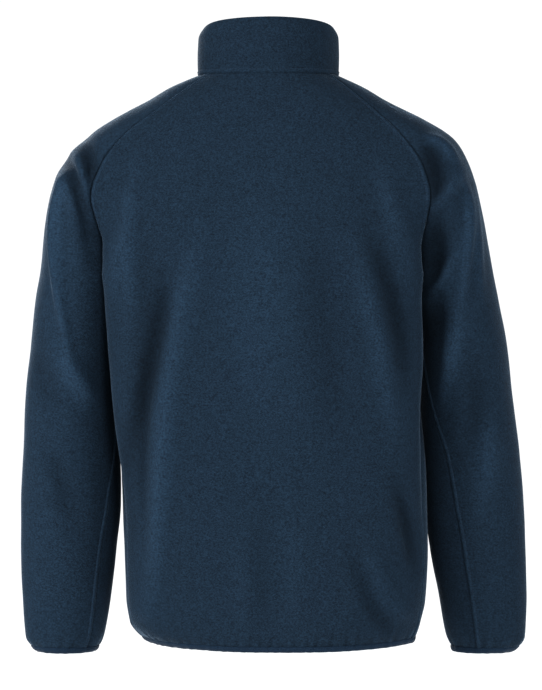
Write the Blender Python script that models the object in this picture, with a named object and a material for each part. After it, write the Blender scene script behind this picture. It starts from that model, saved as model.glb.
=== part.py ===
"""Fleece zip jacket with raglan sleeves and a stand collar, filled out as when worn.

Run it with: blender --background --python part.py, or from Blender's text editor.

Lengths are in metres, +Z is up, the front faces -Y and the wearer's left arm is at +X.
The origin is the middle of the neck base, level with the side neck points, where the
wearer's shoulders carry the garment.

Every cloth piece is one panel as it is cut and sewn: a grid of points on the garment's
outer surface, given a wall of real thickness. Panels that are sewn together share a seam
line, and each stops half the seam gap short of it.
"""

import math
from types import SimpleNamespace

import bpy
import numpy as np

MM = 0.001

# ---------------------------------------------------------------- driving dimensions
CLOTH = 2.6 * MM  # fleece, one layer
COLLAR_CLOTH = 4.4 * MM  # two layers of fleece, sewn together
BINDING_CLOTH = 3.4 * MM  # elastic tape folded round the cloth's edge
TAPE_CLOTH = 0.8 * MM
SEAM_GAP = 0.3 * MM

AXIS_Y = -4 * MM  # the body's middle plane, front to back
ARMPIT_Z = -258 * MM
ARMPIT_SHIFT = -4.4 * MM  # the armpits lean less to the side than the body's middle does
SLEEVE_CLEARANCE = 4.5 * MM  # between the body's side and the sleeve that hangs beside it
HEM_EDGE_Z = -716.5 * MM  # the cloth's lower edge, where the hem binding starts
HEM_Z = -723 * MM
HEM_RISE = 3 * MM  # the hem's sides lie this much above its middles
ZIP_LEAN = -13 * MM  # how far the zip leans to the right from the neck to the hem
CUFF_EDGE = 1.986  # the cloth's end along the sleeve, where the cuff binding starts
CUFF_END = 2.0

NECK_HALF_WIDTH = 90 * MM
NECK_BACK_DEPTH = 78 * MM
NECK_FRONT_DEPTH = 94 * MM
NECK_BACK_Z = -3.5 * MM
NECK_FRONT_Z = -52 * MM
RAGLAN_BACK_TURN = 60.0  # degrees round the neck from centre back to the raglan seam
RAGLAN_FRONT_TURN = 120.0

COLLAR_HALF_WIDTH = 89.5 * MM
COLLAR_BACK_DEPTH = 77 * MM
COLLAR_FRONT_DEPTH = 90 * MM
COLLAR_AXIS_Y = -9 * MM
COLLAR_BACK_Z = 67 * MM
COLLAR_SIDE_Z = 63.5 * MM
COLLAR_FRONT_Z = 28 * MM

ZIP_HALF_OPENING = 6.6 * MM  # from the zip's middle to the cloth's folded edge
TAPE_INNER = 1.6 * MM
TAPE_OUTER = 14 * MM
TAPE_INSET = 3.5 * MM  # below the cloth's outer surface
TAPE_END_Z = -721 * MM

RAGLAN_ROWS = 11
BODY_ROWS = 14
HEM_ROWS = 4
SLEEVE_ROWS = 14
CUFF_ROWS = 4
BACK_COLUMNS = 19  # from centre back to one side
FRONT_COLUMNS = 14
SLEEVE_COLUMNS = 22

LEFT, RIGHT = 1.0, -1.0
BACK, FRONT = 1.0, -1.0


def table(columns, *rows):
    """A short table: each named column as an array."""
    values = np.array(rows, float).T
    return SimpleNamespace(**dict(zip(columns.split(), values)))


# The body's ring at each height, in millimetres: how far its middle leans to the wearer's
# left, its half width, where its middle lies at the back and at the front, and how square
# it is (2 is an ellipse).
BODY = table(
    "z lean half back front power",
    (-723, -16.5, 167, 119, -123.5, 2.15),
    (-716.5, -13.2, 172.5, 121.5, -126, 2.2),
    (-707, -9.7, 179.5, 124, -128.5, 2.35),
    (-694, -7.6, 186, 125, -130.5, 2.45),
    (-671, -7, 192, 126, -131.5, 2.6),
    (-607, -7.4, 194.5, 126, -133, 2.65),
    (-543, -6.4, 197, 125.5, -134.5, 2.8),
    (-479, -4, 201.5, 126, -136, 3.0),
    (-415, 0.8, 204, 127, -137, 3.2),
    (-350, 3, 206, 128.5, -137.5, 3.3),
    (-287, 6.5, 206.5, 130, -137.5, 3.2),
    (-247, 8.5, 213, 130.5, -137, 3.0),
    (-222, 10, 221, 130, -136, 2.9),
    (-200, 10.5, 223, 129, -134, 2.8),
    (-160, 10.5, 224, 124.5, -129, 2.6),
    (-120, 8.5, 223, 117.5, -120.5, 2.45),
    (-80, 7, 208, 107, -110, 2.35),
    (-45, 3.5, 174, 94.5, -100, 2.3),
    (0, 0, 92, 73, -82, 2.2),
)

# The side seam below the armpit, from the body's middle: out to the side, and front to back.
SIDE_SEAM = table(
    "z x left_y right_y",
    (-722.5, 166, 22, 40),
    (-694, 183, 22, 42),
    (-607, 188, 24, 46),
    (-543, 186.5, 22, 46),
    (-479, 184, 16, 38),
    (-415, 181, 10, 24),
    (-350, 179, 4, 10),
    (-287, 178, -2, 0),
    (-258, 181, -4, -4),
)

# The raglan seam above the armpit, on the back and on the front.
RAGLAN_BACK = table(
    "z x y",
    (-258, 181, -4),
    (-233, 193, 34),
    (-192, 206, 68),
    (-159, 212.5, 81),
    (-119.5, 201, 82),
    (-80.5, 173.5, 76),
    (-44.5, 133, 63),
    (-0.9, 77.9, 35),
)
RAGLAN_FRONT = table(
    "z x y",
    (-258, 181, -4),
    (-233, 190, -40),
    (-200, 196, -74),
    (-165, 195, -98),
    (-125, 182, -104),
    (-85, 158, -98),
    (-50, 122, -83),
    (-18.4, 77.9, -51),
)

# The sleeve from the neck (0) past the armpit (1) to the cuff's end (2): the height of its
# outer line and how far out that line lies on each arm, the tilt of the section's outward
# direction above level, the section's half width and half depth, where its middle lies
# front to back, and how far round the underarm seam lies from the outer line.
SLEEVE = table(
    "at z left right tilt half_width half_depth y seam_left seam_right",
    (0.00, 0, 90, 90, 62, 12, 43, -8, 180, 180),
    (0.10, -14.5, 125.5, 121.5, 61, 18, 53, -8.5, 180, 180),
    (0.19, -31, 153, 150, 60, 23, 62, -9, 180, 180),
    (0.343, -56.3, 200, 200, 57, 29, 76, -10, 180, 180),
    (0.47, -82, 236.5, 238, 48, 34, 86, -11, 180, 180),
    (0.568, -107.5, 259.5, 253.8, 38, 38, 91, -12, 180, 180),
    (0.652, -133, 273.5, 263.5, 29, 42, 92, -12, 180, 180),
    (0.804, -184.3, 285.5, 276, 16, 49, 88, -12, 180, 180),
    (1.00, -252, 293.5, 288.5, 6, 54.5, 80, -12, 180, 180),
    (1.072, -287, 299.5, 295, 5, 55, 78, -13, 178, 176),
    (1.203, -351, 306.5, 307, 4, 56, 74, -15, 165, 163),
    (1.335, -415, 312.3, 314.6, 3, 58.7, 69, -17, 150, 143),
    (1.467, -479, 315.8, 322.4, 2, 62.2, 63.5, -20, 137, 118),
    (1.598, -543, 319, 328.3, 1, 64, 58, -23, 129, 106),
    (1.730, -607, 319.6, 331.2, 0, 61.5, 53.5, -27, 126, 102),
    (1.861, -671, 317.2, 333.7, 0, 56.5, 49.5, -31, 126, 100),
    (1.939, -709, 315.3, 332, 0, 52.5, 47, -33, 126, 99),
    (1.966, -722, 314, 330.5, 0, 50, 44.5, -34, 126, 99),
    (1.986, -731.5, 308, 324.5, 0, 44.5, 40.5, -34.5, 126, 99),
    (2.000, -738.5, 301.5, 315, 0, 39, 37, -35, 126, 99),
)
SLEEVE_UP = SimpleNamespace(**{name: values[::-1] for name, values in vars(SLEEVE).items()})

# Folds, in millimetres: a ridge (height above 0) or a trough (below 0) along a bend through
# three points, seen square from behind or in front, with the half width of its bell.
FOLDS = "face x0 z0 x1 z1 x2 z2 width height"
BODY_FOLDS = table(
    FOLDS,
    (BACK, 156, -190, 153, -330, 171, -570, 16, -6),
    (BACK, 84, -210, 119, -370, 158, -665, 15, 6.5),
    (BACK, -126, -205, -159, -310, -173, -450, 14, -6.5),
    (BACK, -104, -220, -136, -340, -160, -480, 14, 4),
    (BACK, -84, -545, -116, -640, -162, -696, 14, 4),
    (BACK, -112, -550, -140, -640, -174, -680, 14, -4.5),
    (BACK, 8, -560, 8, -640, 6, -706, 14, -3.5),
    (BACK, 42, -560, 32, -640, 36, -706, 15, 3),
    (FRONT, 150, -180, 128, -330, 120, -520, 15, 6),
    (FRONT, 172, -230, 158, -350, 150, -480, 13, -5),
    (FRONT, -146, -190, -130, -340, -124, -500, 15, 6),
    (FRONT, -168, -240, -155, -360, -146, -470, 13, -5),
    (FRONT, 92, -560, 104, -640, 128, -700, 15, 4),
    (FRONT, -90, -550, -108, -640, -134, -700, 15, 4),
)
LEFT_FOLDS = table(
    FOLDS,
    (BACK, 252, -96, 231, -130, 216, -195, 11, 6),
    (BACK, 262, -112, 243, -142, 224, -225, 12, -9),
    (BACK, 256, -122, 273, -215, 256, -350, 12, 5.5),
    (BACK, 264, -380, 248, -425, 228, -470, 15, 4),
    (BACK, 284, -470, 262, -520, 246, -580, 16, -3.5),
    (FRONT, 262, -140, 248, -230, 234, -330, 13, 5.5),
    (FRONT, 280, -170, 270, -260, 250, -340, 13, -4.5),
    (FRONT, 226, -400, 262, -440, 288, -450, 15, -4),
    (FRONT, 232, -450, 264, -480, 292, -520, 15, 4),
)
RIGHT_FOLDS = table(
    FOLDS,
    (BACK, -180, -72, -216, -86, -240, -122, 12, 5.5),
    (BACK, -201, -98, -209, -135, -207, -178, 13, -11),
    (BACK, -244, -128, -220, -156, -194, -190, 11, 5.5),
    (BACK, -208, -185, -212, -225, -203, -275, 13, -8),
    (BACK, -238, -224, -215, -262, -190, -300, 12, 5),
    (BACK, -245, -138, -251, -205, -238, -312, 11, 5),
    (BACK, -276, -440, -280, -490, -270, -560, 16, 4),
    (FRONT, -262, -150, -246, -230, -232, -330, 13, 5.5),
    (FRONT, -276, -180, -266, -260, -248, -340, 13, -4.5),
    (FRONT, -226, -400, -262, -436, -290, -445, 15, -4),
    (FRONT, -234, -450, -268, -480, -296, -520, 15, 4),
)

# The zip's slider and pull, in millimetres, before they are set at the zip's top.
SLIDER_BELOW_TOP = 13.0  # from the collar's top edge to the slider's middle
SLIDER_LENGTH = 11.0
SLIDER_WIDE = 8.6
SLIDER_NARROW = 5.6
SLIDER_PLATE = 1.1
SLIDER_SPACE = 2.6  # between its two plates, for the teeth
SLIDER_BRIDGE_WIDTH = 1.6
BAIL_WIDTH = 2.0
BAIL_WIRE = 1.1
BAIL_LENGTH = 8.0
BAIL_HEIGHT = 2.7
PULL_LENGTH = 30.0
PULL_WIDTH = 6.4
PULL_THICKNESS = 1.3
PULL_EYE_WIDTH = 3.4
PULL_EYE_LENGTH = 3.6
PULL_BAR = 1.0
BOX_HEIGHT = 9.0
BOX_WIDTH = 9.0
BOX_DEPTH = 1.8


# ---------------------------------------------------------------- shapes as formulas
def smooth(xs, ys, at):
    """A curve through a table's rows: cubic between rows, and it never overshoots a row."""
    at = np.clip(at, xs[0], xs[-1])
    step = np.diff(xs)
    rise = np.diff(ys) / step
    product = rise[:-1] * rise[1:]
    total = np.where(product > 0, rise[:-1] + rise[1:], 1.0)
    slope = np.empty(len(xs))
    slope[1:-1] = np.where(product > 0, 2 * product / total, 0.0)
    slope[0], slope[-1] = rise[0], rise[-1]
    k = np.clip(np.searchsorted(xs, at, side="right") - 1, 0, len(xs) - 2)
    t = (at - xs[k]) / step[k]
    start = (1 + 2 * t) * (1 - t) ** 2 * ys[k] + t * (1 - t) ** 2 * step[k] * slope[k]
    end = t**2 * (3 - 2 * t) * ys[k + 1] + t**2 * (t - 1) * step[k] * slope[k + 1]
    return start + end


def column(of, name, z, key="z"):
    """A table's column at heights in metres, in metres."""
    return smooth(getattr(of, key), getattr(of, name), np.asarray(z) / MM) * MM


def unit(vectors):
    """Each vector at length 1."""
    return vectors / np.maximum(np.linalg.norm(vectors, axis=-1, keepdims=True), 1e-12)


def ease(t):
    """0 to 1 with flat ends."""
    t = np.clip(t, 0, 1)
    return t * t * (3 - 2 * t)


def fold_height(folds, face, x, z):
    """The folds' height at points seen square on, as x and z in metres: each is a bell across its
    bend, a quadratic curve through its three points, and it fades out at both ends. The distance
    to the bend is square to its nearest short step."""
    height = np.zeros_like(x)
    for k in np.flatnonzero(folds.face == face):
        start = np.array((folds.x0[k], folds.z0[k])) * MM
        middle = np.array((folds.x1[k], folds.z1[k])) * MM
        end = np.array((folds.x2[k], folds.z2[k])) * MM
        handle = 2 * middle - (start + end) / 2
        t = np.linspace(0, 1, 25)[:, None]
        path = (1 - t) ** 2 * start + 2 * t * (1 - t) * handle + t**2 * end
        away = np.hypot(x[..., None] - path[:, 0], z[..., None] - path[:, 1])
        nearest = away.argmin(-1)
        step = np.gradient(path, axis=0)[nearest]
        size = np.linalg.norm(step, axis=-1)
        aside, ahead = x - path[nearest, 0], z - path[nearest, 1]
        along = (aside * step[..., 0] + ahead * step[..., 1]) / size
        across = (aside * step[..., 1] - ahead * step[..., 0]) / size
        beyond = np.clip(np.abs(along) - size / 2, 0, None)
        distance = np.hypot(across, beyond) / (folds.width[k] * MM)
        way = t[nearest, 0] + along / size / 24
        fade = np.sin(np.pi * np.clip(way, 0.04, 0.96)) ** 0.7
        height += folds.height[k] * MM * np.exp(-(distance**2)) * fade
    return height


def neck_point(turn):
    """The neck seam at an angle in degrees round from centre back: half an ellipse behind, a
    deeper half in front, where it dips to the throat."""
    angle = np.radians(turn)
    back = np.cos(angle) >= 0
    depth = np.where(back, NECK_BACK_DEPTH, NECK_FRONT_DEPTH) * np.cos(angle)
    dip = np.where(
        back, NECK_BACK_Z * np.cos(angle) ** 2, NECK_FRONT_Z * np.abs(np.cos(angle)) ** 1.5
    )
    return np.stack([NECK_HALF_WIDTH * np.sin(angle), AXIS_Y + depth, dip], -1)


def edge_of(face, side, z):
    """Where a body panel ends at height z, from the body's middle: on the side seam below the
    armpit and on the raglan seam above it."""
    raglan = RAGLAN_BACK if face == BACK else RAGLAN_FRONT
    side_y = "left_y" if side == LEFT else "right_y"
    x = np.where(z < ARMPIT_Z, column(SIDE_SEAM, "x", z), column(raglan, "x", z))
    x = x + side * ARMPIT_SHIFT * np.exp(-(((z - ARMPIT_Z) / (70 * MM)) ** 2))
    y = np.where(z < ARMPIT_Z, column(SIDE_SEAM, side_y, z), column(raglan, "y", z))
    return x, y


def body_point(face, side, z, t):
    """The body's surface: at height z, t runs from the middle (0) to the panel's edge (1) round
    a squared ellipse, eased in or out near the edge so that it meets the seam."""
    half = column(BODY, "half", z)
    depth = face * (column(BODY, "back" if face == BACK else "front", z) - AXIS_Y)
    power = smooth(BODY.z, BODY.power, z / MM)
    edge_x, edge_y = edge_of(face, side, z)
    edge_y = face * (edge_y - AXIS_Y)
    end = np.arctan2(edge_x / half, edge_y / depth)

    def ring(angle):
        sine, cosine = np.sin(angle), np.cos(angle)
        reach = (np.abs(sine) ** power + np.abs(cosine) ** power) ** (-1 / power)
        return half * reach * sine, depth * reach * cosine

    x, y = ring(t * end)
    last_x, last_y = ring(end)
    pull = np.clip((t - 0.55) / 0.45, 0, 1) ** 3
    x = x + pull * (edge_x - last_x)
    y = y + pull * (edge_y - last_y)
    outward = unit(np.stack([side * x / half**2, face * y / depth**2, 0 * x], -1))
    lean = column(BODY, "lean", z)
    if face == FRONT:
        down = np.clip((NECK_FRONT_Z - z) / (NECK_FRONT_Z - HEM_Z), 0, 1)
        lean = lean + (1 - t) ** 2 * (ZIP_LEAN * down - lean)
    point = np.stack([side * x + lean, AXIS_Y + face * y, z], -1)
    height = fold_height(BODY_FOLDS, face, point[..., 0], z)
    height = height * (1 - ease((-220 * MM - z) / (38 * MM)) * (1 - ease((1 - t) / 0.15)))
    point = point + outward * height[..., None]
    near_sleeve = ease((-185 * MM - z) / (45 * MM))
    room = SLEEVE_CLEARANCE * (1 + 0.5 * np.exp(-(((z - ARMPIT_Z - 8 * MM) / (22 * MM)) ** 2)))
    clearance = room * np.where(z < ARMPIT_Z, 1, np.clip(25 * (1 - t), 0, 1))
    over = side * point[..., 0] - sleeve_inside(side, point[..., 1], z) + clearance
    point[..., 0] -= side * near_sleeve * soft_positive(over, 1.5 * MM)
    return point


def soft_positive(value, width):
    """The value where it is positive and 0 where it is negative, rounded over this width."""
    return width * np.logaddexp(0, value / width)


def sleeve_inside(side, y, z):
    """How far out the hanging sleeve's inner face lies, beside the body at y and z. The
    sleeve's sections tilt, so their inner sides lie lower than their outer line."""
    tilt = np.radians(smooth(SLEEVE_UP.z, SLEEVE_UP.tilt, z / MM))
    level = z + 2 * column(SLEEVE_UP, "half_width", z) * np.sin(tilt)

    def value(name):
        return column(SLEEVE_UP, name, level)

    away = (y - value("y")) / value("half_depth")
    reach = np.sqrt(np.clip(1 - away**2, 0, 1))
    outer = value("left" if side == LEFT else "right")
    inside = outer - value("half_width") * (1 + reach)
    return inside + 40 * MM * np.clip(np.abs(away) - 0.97, 0, None)


def seam_heights(face):
    """Heights of the raglan seam's sample points, evenly spaced along it from the neck down."""
    raglan = RAGLAN_BACK if face == BACK else RAGLAN_FRONT
    z = np.linspace(raglan.z[-1], raglan.z[0], 200) * MM
    line = np.stack([column(raglan, "x", z), column(raglan, "y", z), z], -1)
    along = np.r_[0, np.cumsum(np.linalg.norm(np.diff(line, axis=0), axis=1))]
    return np.interp(np.linspace(0, along[-1], RAGLAN_ROWS), along, z)


def hem_rise(z):
    """How much higher a row near the hem lies at the side seams than in the middle."""
    return HEM_RISE * ease((-640 * MM - z) / (HEM_RISE - 640 * MM - HEM_Z))


def body_rows(face):
    """For each row of a body panel from the neck to the hem: its height at the middle, its
    height at the edge, and how much it is still the neck seam's curve (1 at the neck)."""
    top = NECK_BACK_Z if face == BACK else NECK_FRONT_Z
    upper = seam_heights(face)
    share = (upper - ARMPIT_Z) / (upper[0] - ARMPIT_Z)
    middle = ARMPIT_Z + share * (top - ARMPIT_Z)
    lower = np.linspace(ARMPIT_Z, -690 * MM, BODY_ROWS)[1:]
    hem = np.linspace(-690 * MM, HEM_EDGE_Z, HEM_ROWS)[1:]
    lower_rows = np.r_[lower, hem]
    edge = np.r_[upper, lower_rows + hem_rise(lower_rows)]
    middle = np.r_[middle, lower_rows]
    neck = np.clip(1 - np.arange(len(edge)) / (0.55 * RAGLAN_ROWS), 0, 1) ** 2
    return middle, edge, neck


def body_row(face, side, middle, edge, neck, t):
    """One row of a body panel at t from its middle (0) to its edge (1)."""
    z = middle + (edge - middle) * t**2
    point = body_point(face, side, z, t)
    if neck > 0:
        if face == BACK:
            turn = t * RAGLAN_BACK_TURN
            top = NECK_BACK_Z + (RAGLAN_BACK.z[-1] * MM - NECK_BACK_Z) * t**2
        else:
            turn = 180 - t * (180 - RAGLAN_FRONT_TURN)
            top = NECK_FRONT_Z + (RAGLAN_FRONT.z[-1] * MM - NECK_FRONT_Z) * t**2
        seam = neck_point(turn) * (side, 1, 1)
        point = point + neck * (seam - body_point(face, side, top, t))
    return point


def share_at(face, side, row, distance):
    """The t at which a row lies this far out from its middle point."""
    t = np.linspace(0, 1, 161)
    x = body_row(face, side, *row, t)[:, 0]
    return float(np.interp(distance, np.abs(x - x[0]), t))


def back_grid():
    """The back panel's points: rows from the neck to the hem, columns from right to left."""
    t = np.linspace(0, 1, BACK_COLUMNS)
    rows = []
    for row in zip(*body_rows(BACK)):
        right = body_row(BACK, RIGHT, *row, t)[::-1]
        left = body_row(BACK, LEFT, *row, t)[1:]
        rows.append(np.vstack([right, left]))
    return np.array(rows)


def front_grid(side):
    """A front panel's points: rows from the neck to the hem, columns clockwise seen from above."""
    rows = []
    for row in zip(*body_rows(FRONT)):
        first = share_at(FRONT, side, row, ZIP_HALF_OPENING)
        t = np.linspace(first, 1, FRONT_COLUMNS)
        rows.append(body_row(FRONT, side, *row, t)[:: -int(side)])
    return np.array(rows)


def sleeve_point(side, at, back_edge, front_edge, u):
    """One row of a sleeve, u from its back edge (0) over the outer line to its front edge (1).
    It is an ellipse in the plane of the arm's section. Above the armpit only the part outside
    the raglan seam is used, and its ends are eased on to the seam. Below it the ellipse closes
    at the underarm seam."""

    def value(name):
        return float(smooth(SLEEVE.at, getattr(SLEEVE, name), at))

    outer = value("left" if side == LEFT else "right") * side
    tilt = math.radians(value("tilt"))
    radial = np.array([side * math.cos(tilt), 0, math.sin(tilt)])
    half_width, half_depth = value("half_width") * MM, value("half_depth") * MM
    middle = np.array([outer, value("y"), value("z")]) * MM - half_width * radial

    def turn_to(edge):
        out = (edge - middle) @ radial / half_width
        return math.atan2((edge[1] - middle[1]) / half_depth, out)

    if at < 1:
        first, last = turn_to(back_edge), turn_to(front_edge)
        if first < 0:
            first += 2 * math.pi
        if last > 0:
            last -= 2 * math.pi
    else:
        first = math.radians(value("seam_left" if side == LEFT else "seam_right"))
        last = first - 2 * math.pi
    turn = first + (last - first) * u
    out, along = np.cos(turn)[:, None], np.sin(turn)[:, None]
    forward = np.array([0, 1.0, 0])
    point = middle + half_width * out * radial + half_depth * along * forward
    outward = unit(out * radial / half_width + along * forward / half_depth)
    seam = np.zeros(len(u))
    if back_edge is not None:
        near_back = np.clip(1 - 2 * u, 0, 1)[:, None] ** 2.5
        near_front = np.clip(2 * u - 1, 0, 1)[:, None] ** 2.5
        point = point + near_back * (back_edge - point[0]) + near_front * (front_edge - point[-1])
        seam = max(1 - at, 0)
    window = 1 - np.exp(-((np.minimum(u, 1 - u) / 0.05) ** 2)) * ease(6 * seam)
    folds = LEFT_FOLDS if side == LEFT else RIGHT_FOLDS
    for face in (BACK, FRONT):
        facing = ease(1.6 * face * np.sin(turn) + 0.2) * ease((np.cos(turn) + 0.85) / 0.45)
        height = fold_height(folds, face, point[:, 0], point[:, 2])
        point = point + outward * (height * facing * window)[:, None]
    return point


def sleeve_stations():
    """Where the sleeve's rows lie along it, from the neck to the cuff's cloth edge."""
    upper = np.linspace(0, 1, RAGLAN_ROWS)
    lower = np.linspace(1, 1.93, SLEEVE_ROWS)[1:]
    return np.r_[upper, lower, np.linspace(1.93, CUFF_EDGE, CUFF_ROWS)[1:]]


def sleeve_grid(side, stations, columns, closed=False):
    """A sleeve's points: rows from the neck to the cuff, columns clockwise seen from above."""
    back_seam = body_seam(BACK, side)
    front_seam = body_seam(FRONT, side)
    u = np.linspace(0, 1, columns, endpoint=not closed)
    rows = []
    for k, at in enumerate(stations):
        edges = (back_seam[k], front_seam[k]) if at <= 1 else (None, None)
        row = sleeve_point(side, at, *edges, u)
        if at == 0:
            turns = RAGLAN_BACK_TURN + u * (RAGLAN_FRONT_TURN - RAGLAN_BACK_TURN)
            row = neck_point(turns) * (side, 1, 1)
        rows.append(row[:: int(side)])
    return np.array(rows)


def body_seam(face, side):
    """The raglan seam as the body panel has it, folds and all: one point for each of its rows."""
    middle, edge, neck = (values[:RAGLAN_ROWS] for values in body_rows(face))
    one = np.ones(1)
    return np.vstack(
        [body_row(face, side, *row, one) for row in zip(middle, edge, neck)]
    )


def collar_point(turn, up):
    """The stand collar's outer surface: turn in degrees from centre back, up from the neck seam
    (0) to its top edge (1). It swells a little and rolls in at the top."""
    angle = np.radians(turn)
    back = np.cos(angle) >= 0
    depth = np.where(back, COLLAR_BACK_DEPTH, COLLAR_FRONT_DEPTH) * np.cos(angle)
    front_z = COLLAR_SIDE_Z + (COLLAR_FRONT_Z - COLLAR_SIDE_Z) * np.abs(np.cos(angle)) ** 1.5
    back_z = COLLAR_SIDE_Z + (COLLAR_BACK_Z - COLLAR_SIDE_Z) * np.cos(angle) ** 2
    top = np.stack(
        [
            COLLAR_HALF_WIDTH * np.sin(angle),
            COLLAR_AXIS_Y + depth,
            np.where(back, back_z, front_z),
        ],
        -1,
    )
    bottom = neck_point(turn)
    up = np.asarray(up)[..., None]
    outward = np.stack([np.sin(angle), np.cos(angle), 0 * angle], -1)
    swell = 1.0 * MM * np.sin(np.pi * up) - 1.2 * MM * np.clip((up - 0.92) / 0.08, 0, 1) ** 2
    return bottom + (top - bottom) * up + outward * swell


def collar_turn_at(distance):
    """How far round the collar its front edge lies, for a distance from the zip's middle."""
    return 180 - math.degrees(math.asin(distance / NECK_HALF_WIDTH))


def neck_turns():
    """Where the panels' columns meet the neck seam, in degrees, from the right front edge round
    the back to the left one. The collar has a column at each, so that the cut edges match."""
    front = np.linspace(collar_turn_at(ZIP_HALF_OPENING), RAGLAN_FRONT_TURN, FRONT_COLUMNS)
    sleeve = np.linspace(RAGLAN_FRONT_TURN, RAGLAN_BACK_TURN, SLEEVE_COLUMNS)
    back = np.linspace(RAGLAN_BACK_TURN, 0, BACK_COLUMNS)
    half = np.r_[front[:-1], sleeve[:-1], back]
    return np.r_[-half, half[-2::-1]]


def collar_grid():
    """The collar's points: rows from its top edge to the neck seam, columns from right to left."""
    turns = neck_turns()
    return np.array([collar_point(turns, np.full(len(turns), up)) for up in (1, 0.93, 0.7, 0.35, 0)])


def zip_line_grid(side, distances):
    """Points on the outer surface beside the zip's middle: rows from the collar's top down the
    collar and the front almost to the hem, columns clockwise seen from above."""
    rows = []
    for up in (0.95, 0.75, 0.5, 0.25):
        turns = np.array([collar_turn_at(d) for d in distances]) * side
        rows.append(collar_point(turns, np.full(len(turns), up)))
    above = [row for row in zip(*body_rows(FRONT)) if row[0] > TAPE_END_Z + 4 * MM]
    for row in above + [(TAPE_END_Z, TAPE_END_Z + hem_rise(TAPE_END_Z), 0.0)]:
        t = np.array([share_at(FRONT, side, row, d) for d in distances])
        rows.append(body_row(FRONT, side, *row, t))
    return np.array(rows)[:, :: -int(side)]


def hem_grid(levels):
    """The hem's ring at heights: columns clockwise seen from above, from the zip round to the zip."""
    rows = []
    for z in levels:
        row = (z, z + hem_rise(z), 0.0)
        halves = []
        for side in (RIGHT, LEFT):
            first = share_at(FRONT, side, row, ZIP_HALF_OPENING)
            front = body_row(FRONT, side, *row, np.linspace(first, 1, FRONT_COLUMNS))
            back = body_row(BACK, side, *row, np.linspace(1, 0, BACK_COLUMNS))
            halves.append(np.vstack([front, back[1:]]))
        rows.append(np.vstack([halves[0], halves[1][-2::-1]]))
    return np.array(rows)


# ---------------------------------------------------------------- from points to solids
def normals_of(grid, closed=False):
    """The outward direction at each point of a grid whose rows run down and whose columns run
    clockwise seen from above, from the slopes of its rows and columns."""
    if closed:
        grid = np.concatenate([grid[:, -1:], grid, grid[:, :1]], axis=1)
    down = np.gradient(grid, axis=0)
    across = np.gradient(grid, axis=1)
    normals = unit(np.cross(across, down))
    return normals[:, 1:-1] if closed else normals


def share_normals(*edges, lean=(0, 0, 0)):
    """Gives points that meet at a seam one common outward direction, so that the panels' cut
    edges lie face to face. Each edge is (normals, index)."""
    mean = unit(sum(normals[index] for normals, index in edges) + lean)
    for normals, index in edges:
        normals[index] = mean


def pull_back(grid, normals, sides, distance, closed=False):
    """How far to move each point so that the named edges end this far inside the grid, square
    to the cut: to the plane of the edge's line and the outward direction."""
    moves = np.zeros_like(grid)
    for side in sides:
        edge, inner = {
            "top": ((0,), (1,)),
            "bottom": ((-1,), (-2,)),
            "first": ((slice(None), 0), (slice(None), 1)),
            "last": ((slice(None), -1), (slice(None), -2)),
        }[side]
        line = grid[edge]
        if closed:
            line = np.vstack([line[-1:], line, line[:1]])
        tangent = np.gradient(line, axis=0)
        if closed:
            tangent = tangent[1:-1]
        away = unit(np.cross(tangent, normals[edge]))
        inward = np.sign(np.sum(away * (grid[inner] - grid[edge]), -1, keepdims=True))
        moves[edge] += inward * away * distance
    return moves


def wall_mesh(outer, inner, closed=False, round_top=0.0, round_bottom=0.0):
    """A closed wall between two grids of points. Each of its sections is one loop of points:
    down the outer side and up the inner side. A rounded end has one more point, that far
    beyond the edge."""
    ring = [*outer]
    if round_bottom:
        ring.append(rounded_edge(outer, inner, -1, -2, round_bottom))
    ring += [*inner[::-1]]
    if round_top:
        ring.append(rounded_edge(outer, inner, 0, 1, round_top))
    ring = np.array(ring)
    count, columns = ring.shape[:2]
    faces = []
    for c in range(columns if closed else columns - 1):
        beside = (c + 1) % columns
        for r in range(count):
            below = (r + 1) % count
            corners = ((r, c), (r, beside), (below, beside), (below, c))
            face = tuple(row * columns + col for row, col in corners)
            if r == len(outer) - 1 and not round_bottom:
                faces += [(face[0], face[1], face[2]), (face[0], face[2], face[3])]
            elif r == count - 1 and not round_top:
                faces += [(face[0], face[1], face[2]), (face[0], face[2], face[3])]
            else:
                faces.append(face)
    if not closed:
        for c in (0, columns - 1):
            strip = end_faces(len(outer), bool(round_bottom), bool(round_top))
            strip = [tuple(row * columns + c for row in face) for face in strip]
            faces += [face[::-1] for face in strip] if c else strip
    return ring.reshape(-1, 3), faces


def rounded_edge(outer, inner, edge, beside, distance):
    """The line of points beyond a wall's edge that rounds it."""
    middle = (outer[edge] + inner[edge]) / 2
    return middle + unit(middle - (outer[beside] + inner[beside]) / 2) * distance


def end_faces(rows, bottom, top):
    """Faces across the end of a wall's section, as rows of its loop."""
    last = 2 * rows - 1 + bottom
    faces = []
    for r in range(rows - 1):
        faces += [(r, r + 1, last - r - 1), (r, last - r - 1, last - r)]
    if bottom:
        faces.append((rows - 1, rows, rows + 1))
    if top:
        faces.append((0, last, last + 1))
    return faces


def material(name, colour, roughness, metallic=0.0):
    """A Principled BSDF of one colour."""
    made = bpy.data.materials.new(name)
    made.use_nodes = True
    shader = made.node_tree.nodes["Principled BSDF"]
    shader.inputs["Base Color"].default_value = (*colour, 1)
    shader.inputs["Roughness"].default_value = roughness
    shader.inputs["Metallic"].default_value = metallic
    return made


def add_object(name, points, faces, finish):
    """A named object of one mesh, shaded smooth with sharp cut edges."""
    mesh = bpy.data.meshes.new(name)
    mesh.from_pydata([tuple(p) for p in points], [], faces)
    mesh.validate()
    mesh.update()
    mesh.shade_smooth()
    mesh.set_sharp_from_angle(angle=math.radians(50))
    mesh.materials.append(finish)
    made = bpy.data.objects.new(name, mesh)
    bpy.context.scene.collection.objects.link(made)
    return made


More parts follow.
